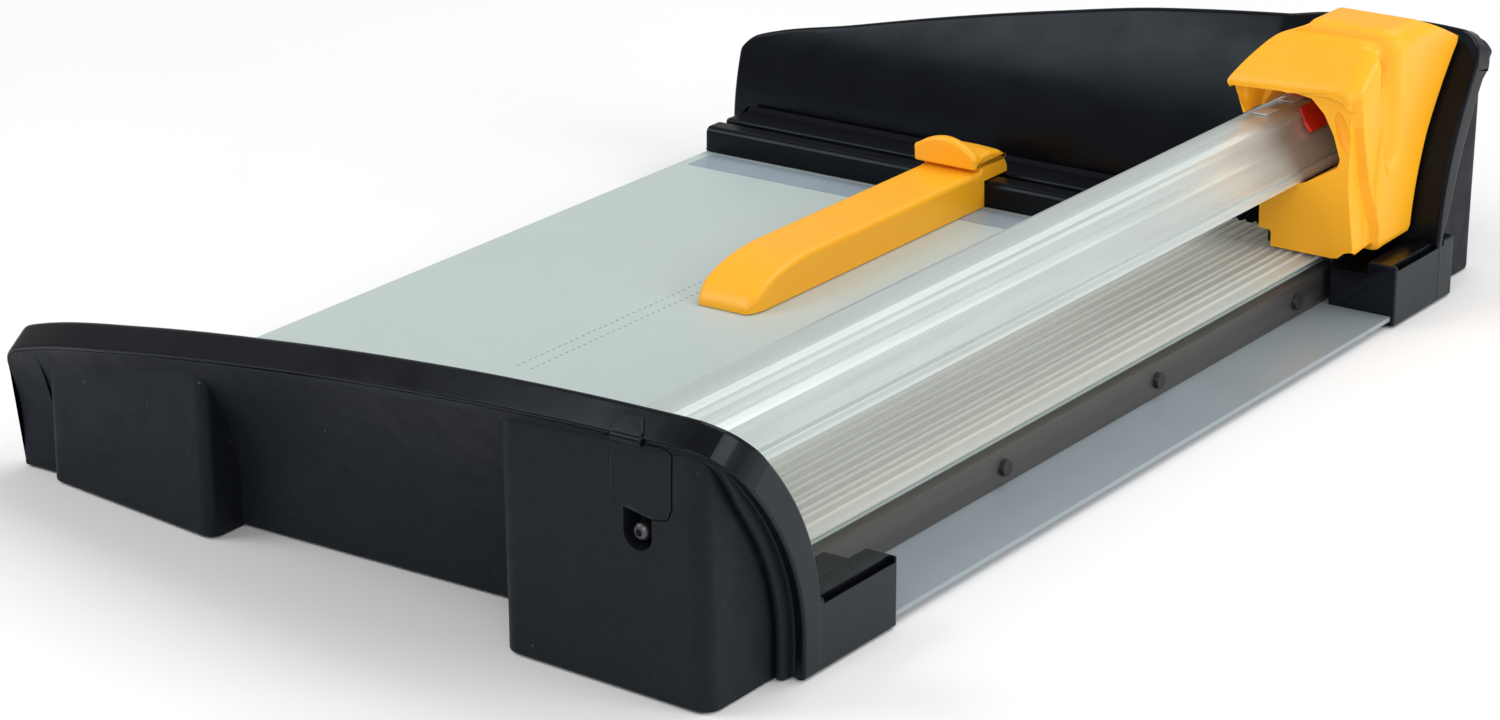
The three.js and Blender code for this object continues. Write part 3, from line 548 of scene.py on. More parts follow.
# ------------------------------------------------------------------ end caps
LEAN_START = 14  # height above which the outer faces lean outwards
RIM_RISE = 8  # rise of the rim from its outer to its inner edge
NEAR_DEPTH = 10.5  # thickness of the near cap
FLANGE = 3.7  # width of the frame's right-hand flange
PARTING = 0.35  # gap between frame and cover
BEAD = (-9.8, -6.0)  # left and right side of the raised bead
BEAD_RISE = 5.2
ROWS = 22  # steps up a section

NEAR_EDGE = [
    (-370, 44), (-367.5, 49.5), (-361, 54.5), (-291, 70.2), (-218, 82.4),
    (-151, 91.6), (-92, 97.4), (-46, 99.6), (-18, 99.8), (-7, 96.5), (-2, 90), (0, 82),
]
FAR_EDGE = [
    (-370, 50), (-368, 59.5), (-360, 66.4), (-310, 77.5), (-259, 88.2), (-206, 97.7),
    (-154, 105.6), (-82, 112), (-30, 114.6), (-12, 114), (-3, 109), (0, 102),
]
near_edge = steady_curve(NEAR_EDGE)
far_edge = steady_curve(FAR_EDGE)
FAR_FOOT = 512
NICHE = (-94, -78)


def lean(z, softness):
    return max(0, z - LEAN_START) ** 2 / softness


def near_face(z):
    return -lean(z, 142)


def far_face(z):
    return FAR_FOOT + lean(z, 220)


def near_skin(z, depth):
    """y of the near cap at a depth behind its outer face, 0 to NEAR_DEPTH."""
    return depth + near_face(z - RIM_RISE * depth / NEAR_DEPTH)


def far_inner(x, z):
    return mix(486, 494.5, ramp(x, *NICHE)) + lean(z - RIM_RISE, 220)


far_frame_width = steady_curve([(0, 4.2), (28, 4.4), (38, 8), (51, 10.4), (77, 12.6), (105, 14)])


def rows(start, end):
    """Heights of the points up, or down, a cap's section."""
    return [mix(start, end, k / ROWS) for k in range(ROWS + 1)]


def stations(start, end, extra=()):
    """Places along a cap: close together near its rounded ends, wider between them."""
    places = set(extra)
    places.update([start, end])
    step = 7.0
    count = int((end - start) / step)
    places.update(start + (end - start) * i / count for i in range(count + 1))
    for offset in (0.4, 0.9, 1.6, 2.5, 3.6, 5, 6.8, 9, 12, 15):
        places.update([-LENGTH + offset, -offset])
    return sorted(p for p in places if start <= p <= end)


def rounded_end(x, outline, left, right, radius, centre_x=0):
    """Ring in y-z at x, drawn in where the piece's left and right ends are rounded."""
    reach = radius - min(radius, x - left, right - x)
    amount = radius - math.sqrt(max(0, radius**2 - reach**2))
    return [(centre_x + x, u, v) for u, v in inset(outline, amount)]


def end_steps(left, right, radius):
    turns = [math.pi / 2 * k / 4 for k in range(5)]
    offsets = [radius * (1 - math.sin(a)) for a in turns]
    return [left + o for o in offsets] + [right - o for o in offsets]


def near_frame():
    """Glossy inner half of the near cap: rim band, inner wall and right-hand flange."""
    left, right, edge_radius = -LENGTH, 0, 1.3

    def ring(x):
        top = near_edge(x)
        recess = 2.9 if x < -FLANGE - 0.1 else 0
        lip = top - 1.5
        corners = [(near_skin(z, recess), z, 0) for z in rows(SOLE, lip)]
        corners.append((near_skin(lip, 0), lip + 0.01, 0))
        corners.append((near_skin(top, 0), top, 1.1))
        corners.append((near_skin(top + RIM_RISE, NEAR_DEPTH), top + RIM_RISE, 2.4))
        inner_top = top + RIM_RISE
        corners += [(near_skin(z, NEAR_DEPTH), z, 0) for z in rows(inner_top, SOLE)[2:]]
        outline = fillet(corners)
        return rounded_end(x, outline, left, right, edge_radius)

    places = stations(left, right, [*end_steps(left, right, edge_radius), -FLANGE - 0.11, -FLANGE - 0.09])
    body = loft("near_frame", [ring(x) for x in places])
    foot = foot_block("foot", 2.0, 59.4, 1)
    combine(body, [foot], "UNION")
    seat = sweep_y("cutter", inset(rail_outline(), -0.5), RAIL[0].y - 0.3, 12, 0.05)
    combine(body, [seat])
    put_on(body, "base", GLOSS_BLACK, ["near_cap_frame"])


FOOT_LOW = 22.5
FOOT_TOP = 28.0
FOOT_STEP = -13.7


def foot_block(name, start, end, outward):
    """Stepped foot beside the knife, with a dark slot along its outer top edge."""
    outline = fillet([
        (-32, SOLE, 0.8), (-0.15, SOLE, 0.8), (-0.15, FOOT_TOP, 0.8), (FOOT_STEP, FOOT_TOP, 0.8),
        (FOOT_STEP - 1.2, FOOT_LOW, 0.8), (-32, FOOT_LOW, 0.8),
    ], 3)
    block = sweep_y(name, outline, start, end, 1.0)
    first, last = (start + 10, end - 1.4) if outward > 0 else (start + 1.4, end - 10)
    rebate = [(-2.9, FOOT_TOP - 2.3), (1, FOOT_TOP - 2.3), (1, FOOT_TOP + 1), (-2.9, FOOT_TOP + 1)]
    slot = [(-2.9, FOOT_TOP - 6), (-0.75, FOOT_TOP - 6), (-0.75, FOOT_TOP + 1), (-2.9, FOOT_TOP + 1)]
    return combine(block, [sweep_y("cutter", shape, first, last, 0.2) for shape in (rebate, slot)])


# Foot blocks on the covers: ends, how far each end stands off the foot of the cap, and the
# radius of the upright corners.
NEAR_BLOCKS = [(-350, -257, 6, 18.5, 5), (-103.5, -10.5, 38, 43.6, 7)]
FAR_BLOCKS = [(-350, -257, 6, 16, 5), (-103.5, -10.5, 36, 40.8, 7)]


def block_reach(blocks, x, z, side):
    """How far a foot block stands off the foot of the cap at x, or None between the blocks."""
    for left, right, front0, front1, corner in blocks:
        inside = left < x < right or (x == left and side > 0) or (x == right and side < 0)
        if inside:
            edge = min(x - left, right - x)
            ease = corner - math.sqrt(corner**2 - (corner - edge) ** 2) if edge < corner else 0
            rise = ramp(z, SOLE, 90) * 0.05
            return mix(front0, front1, (x - left) / (right - left)) * (1 + rise) - ease
    return None


def crest_height(blocks, x, side, reach_at):
    """Height at which a block's front runs into the leaning face."""
    low, high = SOLE, 112
    if block_reach(blocks, x, low, side) is None:
        return None
    for _ in range(24):
        middle = (low + high) / 2
        if block_reach(blocks, x, middle, side) > reach_at(middle):
            low = middle
        else:
            high = middle
    return low


def cover_stations(blocks, left, right):
    extra = []
    for x0, x1, _, _, corner in blocks:
        for k in range(7):
            ease = corner * (1 - math.cos(math.pi / 2 * k / 6))
            extra += [x0 + ease, x1 - ease]
    bead_left, bead_right = BEAD
    extra += [mix(bead_left, bead_right, 0.5 - 0.5 * math.cos(math.pi * k / 8)) for k in range(9)]
    places = stations(left, right, [*extra, *end_steps(left, right, 1.0)])
    doubled = []
    edges = {e for block in blocks for e in block[:2]}
    for x in places:
        doubled += [(x, -1), (x, 1)] if x in edges else [(x, 0)]
    return doubled


def bead_height(x, z):
    left, right = BEAD
    if not left < x < right:
        return 0
    across = (x - left) / (right - left) * 2 - 1
    return BEAD_RISE * math.sqrt(1 - across**4) * (1 - ramp(z, 70, 95))


def cover(name, blocks, top_of, outer_face, back_face, outward):
    """Moulded outer cover: leaning skin, foot blocks with rounded corners and the raised bead."""
    left, right = -LENGTH, -FLANGE - PARTING
    foot = outer_face(0)

    def ring(x, side):
        top = top_of(x)
        crest = crest_height(blocks, x, side, lambda z: abs(outer_face(z) - foot))
        crest = min(top - 1, crest) if crest else min(60, top - 8)
        heights = rows(SOLE, crest) + [mix(crest, top, k / 8) for k in range(1, 9)]
        corners = []
        for z in heights:
            reach = abs(outer_face(z) - foot)
            standing = block_reach(blocks, x, z, side)
            if standing is not None and z <= crest:
                reach = max(reach, standing)
            corners.append((foot + outward * (reach + bead_height(x, z)), z, 0))
        corners[0] = (*corners[0][:2], 1.2)
        back_top = top + 0.4
        corners += [(back_face(x, z), z, 0) for z in rows(back_top, SOLE)]
        return rounded_end(x, fillet(corners, 4), left, right, 1.0)

    return loft(name, [ring(x, side) for x, side in cover_stations(blocks, left, right)])


FLAP_OUTLINE = [
    (-51.2, 71.3, 2.5), (-33, 68.4, 4), (-26.2, 69.6, 2.5), (-24.4, 74, 3),
    (-24, 97.0, 0.6), (-49.6, 97.0, 0.6), (-51.5, 85, 8),
]
SLOT = (-39.5, 61.5, 6.3)


def near_cover_face(x, z):
    """y of the near cover's outer face at the right-hand block."""
    return min(near_face(z), -block_reach(NEAR_BLOCKS, x, z, 0))


def flap_prism(grow, front, back):
    outline = inset(fillet(FLAP_OUTLINE, 4), -grow)
    return prism_y(outline, front, back)


def flap_sheet(name, outer, inner):
    """Sheet that follows the cover's face, from outer to inner millimetres behind it."""

    def place(a, b, c):
        x, z = mix(-56, -20, a), mix(64, 102, c)
        return (x, near_cover_face(x, z) + mix(outer, inner, b), z)

    return slab(name, (18, 1, 26), place)


def near_cover():
    piece = cover(
        "near_cover", NEAR_BLOCKS, lambda x: near_edge(x) - 1.5 - PARTING, near_face,
        lambda x, z: near_skin(z, 2.6), -1,
    )
    pocket = combine(flap_sheet("cutter", -8, 2.9), [flap_prism(0.45, -75, -20)], "INTERSECT")
    x, z, radius = SLOT
    slot = [(x + radius, z + 14), (x - radius, z + 14)]
    slot += [(x - radius * math.cos(a), z - radius * math.sin(a)) for a in half_turn(16)]
    combine(piece, [pocket, prism_y(slot, -70, -33)])
    put_on(piece, "base", CHARCOAL, ["near_cap_cover"])


def lock_flap():
    piece = combine(flap_sheet("lock_flap_plate", -0.35, 1.9), [flap_prism(0, -75, -20)], "INTERSECT")
    put_on(piece, "flap", CHARCOAL, ["lock_flap"], bevel=0.35)


def slot_screw():
    """Domed screw at the bottom of the slot, with a socket in its head."""
    low, high = span("lock_screw")
    x, _, z = middle_of("lock_screw")
    radius = (high.x - low.x) / 2

    def ring(y, width):
        return [(u, y, v) for u, v in circle(x, z, width, 32)]

    dome = [math.pi / 2 * k / 6 for k in range(1, 7)]
    rings = [ring(low.y + 2.4 * (1 - math.cos(a)), radius * math.sin(a)) for a in dome]
    rings += [ring(low.y + 4.4, radius), ring(low.y + 4.8, radius - 0.6), ring(high.y, radius - 0.6)]
    screw = loft("slot_screw", rings)
    combine(screw, [prism_y(circle(x, z, 1.5, 6), low.y - 1, low.y + 2)])
    put_on(screw, "base", DARK_STEEL, ["lock_screw"])


def hinge_tab():
    """Small raised hinge seat on the rim above the flap."""
    outline = fillet([(-45.4, 0.2, 0.8), (-44.3, 5.4, 1.6), (-35.6, 5.4, 1.6), (-30.8, 0.2, 0.8)], 4)

    def point(u, v, raised):
        top = near_edge(u)
        share = v / RIM_RISE
        y = near_skin(top + v, NEAR_DEPTH * share)
        return (u, y - 0.5 * raised, top + v + 0.7 * raised)

    levels = ((-1, 0), (0.6, 0), (1, 0.4))
    rings = [[point(u, v, raised) for u, v in inset(outline, cut)] for raised, cut in levels]
    seat = loft("hinge_seat", rings)
    low, high = span("lock_flap_pin")
    _, pin_y, pin_z = middle_of("lock_flap_pin")
    barrel = sweep_x("barrel", circle(pin_y, pin_z, 1.75), low.x - 0.4, high.x + 0.4, 0.4)
    combine(seat, [barrel], "UNION")
    put_on(seat, "base", GLOSS_BLACK)


def far_frame():
    """Glossy inner half of the far cap: the tall wall, its rim and the right-hand flange."""
    left, right, edge_radius = -LENGTH + 1.5, 0, 1.6

    def ring(x):
        top = far_edge(x)
        width = 0.75 if x < -FLANGE - 0.1 else 1
        corners = [(far_inner(x, z), z, 0) for z in rows(SOLE, top)[:-1]]
        corners.append((far_inner(x, top), top, 3.0))
        depth = far_frame_width(top) * width
        crest = top - RIM_RISE * depth / max(1, far_face(top) - far_inner(x, top))
        corners.append((far_inner(x, top) + depth, crest, 1.0))
        corners += [(far_inner(x, z) + far_frame_width(z) * width, z, 0) for z in rows(crest, SOLE)[1:]]
        outline = fillet(corners)
        return rounded_end(x, outline, left, right, edge_radius)

    extra = [mix(*NICHE, k / 8) for k in range(9)] + [-FLANGE - 0.11, -FLANGE - 0.09]
    places = stations(left, right, [*end_steps(left, right, edge_radius), *extra])
    body = loft("far_frame", [ring(x) for x in places])
    combine(body, [foot_block("foot", 454, 510, -1)], "UNION")
    combine(body, [sweep_y("cutter", inset(rail_outline(), -0.5), 493, RAIL[1].y + 0.3, 0.05)])
    put_on(body, "base", FAR_BLACK, ["far_cap_frame"])


def far_cover():
    def back(x, z):
        return far_inner(x, z) + far_frame_width(z) + 0.6

    def top_of(x):
        return far_edge(x) - RIM_RISE

    piece = cover("far_cover", FAR_BLOCKS, top_of, far_face, lambda x, z: min(back(x, z), far_face(z) - 2), 1)
    put_on(piece, "base", CHARCOAL, ["far_cap_cover"])


# ------------------------------------------------------------------ guide rail
# Right-hand half of the section, from the top centre down.
RAIL_HALF = [
    (0, 0, 0), (4, 0, 0), (6.2, -0.3, 0.8), (9.3, -1.4, 0.5), (10.1, -2.6, 0.5), (10.3, -4.4, 1.5),
    (11.6, -8.6, 2.5), (13.6, -10.3, 0.8), (15.0, -11.4, 0.6), (21.4, -20.2, 0.3), (20.6, -20.9, 0),
    (21.0, -21.5, 0), (22.4, -21.6, 0.4), (23.6, -23.4, 0.5), (23.6, -25, 0.3),
]
# Its inner side, from the bottom lip up to the top centre.
RAIL_INNER = [
    (20.6, -25, 0.2), (20.0, -22.6, 0.5), (13.2, -13.2, 0.5), (10.6, -9.6, 0.5), (8.2, -4.4, 0.5),
    (6.4, -2.4, 0.5), (0, -2.2, 0),
]


def rail_outline():
    """Outer outline of the rail as a closed ring of (x, z)."""
    right = [(RAIL_AXIS + u, RAIL_TOP + v) for u, v in fillet(RAIL_HALF, 2)]
    left = [(RAIL_AXIS - u, RAIL_TOP + v) for u, v in fillet(RAIL_HALF, 2)]
    return right + left[::-1][:-1]


def guide_rail():
    right = fillet(RAIL_HALF + RAIL_INNER, 3)
    ring = [(RAIL_AXIS + u, RAIL_TOP + v) for u, v in right]
    ring += [(RAIL_AXIS - u, RAIL_TOP + v) for u, v in reversed(right)][1:-1]
    section = [p for i, p in enumerate(ring) if p != ring[i - 1]]
    places = [mix(RAIL[0].y, RAIL[1].y, k / 40) for k in range(41)]
    rail = loft("rail_extrusion", [[(u, y, v) for u, v in section] for y in places])
    put_on(rail, "base", ALUMINIUM, ["guide_rail"], crease=20)


# ------------------------------------------------------------------ table and ledge
def alignment_ledge():
    front, top, back = LEDGE[0].y, LEDGE[1].z, LEDGE[1].y
    base = TABLE_TOP + 0.3
    corners = [
        (front, base, 0.4), (front, top, 3.2), (front + 11, top, 1.2), (front + 11.8, top - 4, 0.8),
        (front + 16, top - 4, 0.8), (front + 16.8, top, 1.4), (back - 3, top, 2.4), (back, top + 2.2, 0.4),
        (back, base, 0),
    ]
    outline = fillet(corners, 5)
    piece = sweep_x("ledge_moulding", outline, LEDGE[0].x, LEDGE[1].x, 1.2)
    put_on(piece, "base", GLOSS_BLACK, ["alignment_ledge"])


def work_table():
    """Pressed sheet with rolled edges; the ruler strip lies in its far end."""
    low, high = table
    bed = span("ruler_strip")
    top, sheet = high.z, 3.0
    outline = fillet([
        (low.x, low.z, 0.3), (low.x + 2.5, low.z, 0.3), (low.x + 2.5, top - sheet, 0.6),
        (high.x, top - sheet, 0.3), (high.x, top, 0.5), (low.x, top, 1.4),
    ], 4)
    rings = [[(u, y, v) for u, v in inset(outline, cut)] for y, cut in rounded_stops(low.y, high.y, 0.3)]
    piece = loft("table_sheet", rings)
    pocket = fillet([
        (bed[0].x - 0.25, bed[0].y - 0.25, 1.2), (bed[1].x + 0.25, bed[0].y - 0.25, 1.2),
        (bed[1].x + 0.25, bed[1].y + 0.25, 1.2), (bed[0].x - 0.25, bed[1].y + 0.25, 1.2),
    ], 4)
    combine(piece, [prism_z(pocket, top - 0.5, top + 2)])
    put_on(piece, "base", TABLE_GREY, ["work_table"])


def ink(name, marks, height):
    """Thin printed marks, each (x0, y0, x1, y1), as one object lying on a surface."""
    points, faces = [], []
    for x0, y0, x1, y1 in marks:
        first = len(points)
        for z in (height - 0.02, height + 0.05):
            points += [(x0, y0, z), (x1, y0, z), (x1, y1, z), (x0, y1, z)]
        for face in ((0, 1, 2, 3), (4, 5, 6, 7), (0, 1, 5, 4), (1, 2, 6, 5), (2, 3, 7, 6), (3, 0, 4, 7)):
            faces.append([first + f for f in face])
    put_on(make_object(name, points, faces), "base", PRINT)


def printed_marks():
    """Ruler divisions along the ledge and dotted size lines on the table."""
    low, high = span("ruler_strip")
    ticks = []
    for i in range(int(high.x - low.x - 4)):
        x = high.x - 3 - i
        length = 7 if i % 10 == 0 else 5 if i % 5 == 0 else 3
        ticks.append((x - 0.1, high.y - 1 - length, x + 0.1, high.y - 1))
    ink("ruler_ticks", ticks, high.z)

    dots = []
    for x in (-247, -240):
        dots += [(x - 0.3, y, x + 0.3, y + 1.5) for y in range(158, 408, 4)]
    ink("size_lines", dots, TABLE_TOP)


def lower_knife():
    """Ground blade with a bevelled cutting edge on its foot."""
    low, high = KNIFE
    face, top = high.x, high.z
    outline = [
        (low.x, low.z), (face, low.z), (face, top - 0.05), (face - 0.25, top), (face - 5.6, top),
        (face - 6.5, top - 0.9), (face - 6.5, low.z + 3.2), (low.x + 0.6, low.z + 3.2), (low.x, low.z + 2.6),
    ]
    piece = sweep_y("knife_blade", outline, low.y, high.y, 0.25)
    put_on(piece, "base", KNIFE_STEEL, ["lower_knife"], crease=25)


def clamp_strip():
    """Clear extruded strip with rounded ribs of uneven pitch and a raised left flange."""
    low, high = STRIP
    base = low.z
    outline = [(low.x + 8, base), (high.x - 0.5, base), (high.x, base + 0.5), (high.x, base + 2.2)]
    ribs = []
    x = low.x + 12.5
    pitches = [5.5, 4.2, 5.5, 3.4]
    while x < high.x - 3.4:
        ribs.append(x)
        x += pitches[len(ribs) % len(pitches)]
    for x in reversed(ribs):
        outline += [(x + 0.9 * math.cos(a), base + 2.5 + 1.05 * math.sin(a)) for a in half_turn(6)]
    outline += [(low.x + 10, base + 2.6), (low.x + 4.6, base + 4.0), (low.x + 2.6, base + 7.6)]
    outline += [(low.x + 1.9, high.z), (low.x + 0.4, high.z), (low.x, high.z - 0.5), (low.x, base + 3.2)]
    outline += [(low.x + 1.2, base + 1.8)]
    piece = sweep_y("clear_strip", outline, low.y, high.y, 0.2)
    put_on(piece, "clamp", CLEAR, ["clamp_strip"], crease=50)


# ------------------------------------------------------------------ cutting head
HEAD_BACK = 494.5
# Points along each run of the outline: skirt, top, shoulder, right side, foot, left side.
HOOD_ROWS = [8, 20, 48, 16, 16, 8]
TOP_POINTS = HOOD_ROWS[0] + HOOD_ROWS[1]

# Corners of the hood across the rail at stations from its front, 0, to its back, 1. Each is
# (x, z, radius): skirt end, left tip, ridge, right shoulder, right side, foot, left foot, notch.
HOOD_SECTIONS = [
    (0.0, [
        (-72.6, 86.7, 0), (-81.6, 101, 1.2), (-50, 102.4, 9), (-17.6, 104.6, 7), (-17.4, 60, 14),
        (-13.1, 28.8, 2.5), (-57, 29.2, 1.2), (-63, 30.6, 1.2), (-63.2, 58.4, 0),
    ]),
    (0.12, [
        (-73.4, 87.4, 0), (-74.2, 111.5, 1.4), (-50, 112.6, 9), (-16.2, 114, 8), (-16.4, 62, 14),
        (-12.9, 29.4, 2.5), (-57, 29.6, 1.2), (-63, 31, 1.2), (-63.2, 58.4, 0),
    ]),
    (0.23, [
        (-74, 87.6, 0), (-67, 119.6, 3), (-50, 120.8, 9), (-15.2, 121.5, 9), (-15.5, 64, 14),
        (-12.8, 30, 2.5), (-57, 30, 1.2), (-63, 31, 1.2), (-63.2, 58.4, 0),
    ]),
    (0.262, [
        (-74, 87.6, 0), (-64.5, 120.6, 2.5), (-50, 122, 9), (-14.6, 122.6, 9), (-15.2, 64, 14),
        (-12.8, 30, 2.5), (-57, 30, 1.2), (-63, 31, 1.2), (-63.2, 58.4, 0),
    ]),
    (0.274, [
        (-73, 87.8, 0), (-54.0, 125.0, 2.5), (-48, 124.8, 9), (-12.6, 125, 9), (-14.0, 66, 14),
        (-12.8, 30.4, 2.5), (-57, 30.4, 1.2), (-63, 31, 1.2), (-63.2, 58.4, 0),
    ]),
    (0.33, [
        (-72.5, 88, 0), (-53.2, 126.6, 3), (-47, 126.7, 9), (-10.6, 126.6, 8), (-12.8, 68, 14),
        (-12.7, 30.8, 2.5), (-57, 30.8, 1.2), (-63, 31, 1.2), (-63.2, 58.4, 0),
    ]),
    (0.5, [
        (-72.5, 88, 0), (-53.2, 126.7, 4), (-47, 126.9, 9), (-10.0, 126.9, 8), (-12.5, 70, 14),
        (-12.6, 31.4, 2.5), (-57, 31.4, 1.2), (-62.6, 32.4, 1.2), (-62.8, 58.4, 0),
    ]),
    (1.0, [
        (-72.5, 88, 0), (-52.6, 126.6, 4), (-47, 126.8, 9), (-10.4, 126.6, 8), (-12.5, 74, 14),
        (-12.6, 32, 2.5), (-57, 32, 1.2), (-62, 33, 1.2), (-62.2, 58.4, 0),
    ]),
]
HOOD_MOUTH = [
    (-72.6, 86.7), (-71.4, 87), (-78.6, 98.9), (-54, 100.1), (-47, 99.3), (-40.5, 98.5), (-34, 92.5),
    (-29, 83.5), (-25.7, 73.5), (-26.6, 69.8), (-42.6, 60.2), (-55, 58.7), (-62.9, 58.6),
]
# Part of the front that lies behind the thin lip along the hood's top edge.
HOOD_FACE = [
    (-95, 98.2), (-78.9, 98.2), (-54, 99.5), (-32, 100.9), (-24.5, 99.4), (-20.6, 95), (-18.6, 86),
    (-17.2, 70), (-8, 60), (-8, 20), (-95, 20),
]


def corner_curves():
    """For each corner of the hood its x, z and radius as curves along the head."""
    curves = []
    for i in range(len(HOOD_SECTIONS[0][1])):
        curves.append([steady_curve([(s, corners[i][k]) for s, corners in HOOD_SECTIONS]) for k in range(3)])
    return curves


hood_corner_curves = corner_curves()


def hood_rim(s):
    """Outer outline of the hood at station s as one open line, always with the same points."""
    corners = [tuple(curve(s) for curve in corner) for corner in hood_corner_curves]
    arcs = []
    for i, corner in enumerate(corners):
        if corner[2] > 0:
            arcs.append(fillet([(*corners[i - 1][:2], 0), corner, (*corners[i + 1][:2], 0)], 8)[1:-1])
        else:
            arcs.append([corner[:2]])
    skirt, tip, ridge, shoulder, side, foot, left_foot, notch, end = arcs
    middle = len(shoulder) // 2
    peak = len(tip) // 2
    runs = [
        skirt + tip[:peak + 1],
        tip[peak:] + ridge + shoulder[:middle + 1],
        shoulder[middle:] + side[:5],
        side[4:] + foot[:5],
        foot[4:] + left_foot,
        left_foot[-1:] + notch + end,
    ]
    line = []
    for run, count in zip(runs, HOOD_ROWS):
        line += resample(run, count)[:-1]
    return line + [Vector(end[0])]


def mouth_line():
    """Inner outline, matched point for point with the outer one."""
    parts = ((0, 3), (2, 6), (5, 9), (8, 11), (10, 12), (11, 13))
    runs = [HOOD_MOUTH[first:last] for first, last in parts]
    line = []
    for run, count in zip(runs, HOOD_ROWS):
        line += resample(run, count)[:-1]
    return line + [Vector(HOOD_MOUTH[12])]


def swoosh(z):
    """y at which the hood's side steps out, sweeping back from the shoulder to the foot."""
    down = min(1, max(0, (103 - z) / 66))
    return HEAD_FRONT + 2.2 + 15 * down**1.15


def hood_relief(x, y, z):
    """How far the right-hand side lies inside the plain section: front shield and finger recess."""
    if x < -30:
        return 0
    shield = 4.0 * (1 - ramp(y - swoosh(z), -0.5, 0.5)) * ramp(z, 107, 97) * ramp(x, -26, -20)
    if x < -24 or z > 124 or z < 58:
        return shield
    centre = mix(464.8, 469, ramp(z, 120, 70))
    width = mix(3.0, 5.6, ramp(z, 118, 78)) * math.sqrt(max(0.02, ramp(z, 62.5, 74)))
    offset = (y - centre) / width
    edge = 8.0 if offset < 0 else 2.4
    finger = 4.2 * math.exp(-abs(offset) ** edge) * ramp(z, 63.5, 68) * ramp(z, 124, 113)
    return shield + finger


def head_hood():
    """The orange hood: one sweep whose C-shaped section opens to the rail."""
    mouth = mouth_line()
    stops = [0.0, 0.3, 0.8, 1.5, 2.4, 3.4]
    lengths = stops + [mix(3.8, 50, (k / 110) ** 1.1) for k in range(111)]
    depth = HEAD_BACK - 1.5 - HEAD_FRONT

    def back_of(z):
        return min(528, HEAD_BACK - 1.8 + lean(z - RIM_RISE, 220))

    def outer(i, row):
        along = row / depth
        line = hood_rim(min(1, along))
        u, v = line[i]
        before = line[max(0, i - 1)]
        after = line[min(len(line) - 1, i + 1)]
        direction = (after - before).normalized()
        normal = Vector((direction.y, -direction.x))
        y = HEAD_FRONT + min(1, along) * (back_of(v) - HEAD_FRONT)
        v = min(v, 127 - 0.42 * max(0, y - 492))
        top = i < TOP_POINTS - 2
        radius = 1.0 if top else 2.2
        edge = 0 if row >= radius else radius - math.sqrt(radius**2 - (radius - row) ** 2)
        rear = back_of(v) - y
        edge += 0 if rear >= 3 else 3 - math.sqrt(9 - (3 - max(0, rear)) ** 2)
        amount = edge + hood_relief(u, y, v)
        return (u + normal.x * amount, y, v + normal.y * amount)

    count = len(mouth)
    rings = []
    for row in lengths:
        row = min(row, depth)
        out = [outer(i, row) for i in range(count)]
        inside = []
        for i in range(count):
            u, v = mouth[i]
            wide = ramp(row, 2.0, 5.0)
            shift = Vector((0, 0))
            if i < TOP_POINTS - 5:
                goal = Vector(out[i][::2])
                level = min(99.2, goal.y - 2.2)
                shift = Vector((max(u, goal.x + 1.2) - u if row > 3 else 0, max(0, level - v))) * wide
            inside.append((u + shift.x, mix(HEAD_FRONT, back_of(v), row / depth), v + shift.y))
        rings.append(out + inside[::-1])
    body = loft("head_hood", rings)
    cavity = prism_z([(-59.5, 449), (-22, 449), (-22, 491), (-59.5, 491)], 20, 61)
    dimple = ellipsoid((-25.0, HEAD_FRONT + 2.2, 85.8), (3.0, 2.8, 9.0), math.atan2(-4.5, 14.5))
    face = prism_y(HOOD_FACE, HEAD_FRONT - 2, HEAD_FRONT + 2.4)
    notch = fillet([(-75, 20, 0), (-57, 20, 0), (-57, 36.8, 1.8), (-75, 36.8, 0)], 4)
    combine(body, [cavity, face, dimple, prism_y(notch, HEAD_FRONT - 2, 530)])
    merge_flat_faces(body)
    put_on(body, "head", YELLOW, ["head_front_housing", "head_rear_housing"], crease=38)


def head_sled():
    """Red slider that wraps the rail's upper half inside the hood."""
    half = [(0, 87), (6.6, 87), (10.4, 85.4), (12.6, 80.6), (16.2, 76.2)]
    inner = [(14.8, 75.1), (11.8, 78.6), (11.1, 82.4), (8.4, 84.9), (6.4, 85.6), (0, 85.9)]
    right = half + inner
    outline = [(RAIL_AXIS + u, v) for u, v in right]
    outline += [(RAIL_AXIS - u, v) for u, v in right[::-1][1:-1]]
    low, high = span("head_sled")
    sled = sweep_y("sled_moulding", outline, low.y + 21, high.y, 0.3)
    opening = [(RAIL_AXIS - 30, 70), (RAIL_AXIS + 9.6, 70), (RAIL_AXIS + 9.6, 96), (RAIL_AXIS - 30, 96)]
    combine(sled, [sweep_y("cutter", opening, low.y, low.y + 37, 0.1)])
    put_on(sled, "head", RED, ["head_sled"])


# ------------------------------------------------------------------ paper side guide
BRIDGE_LIFT = 2.2


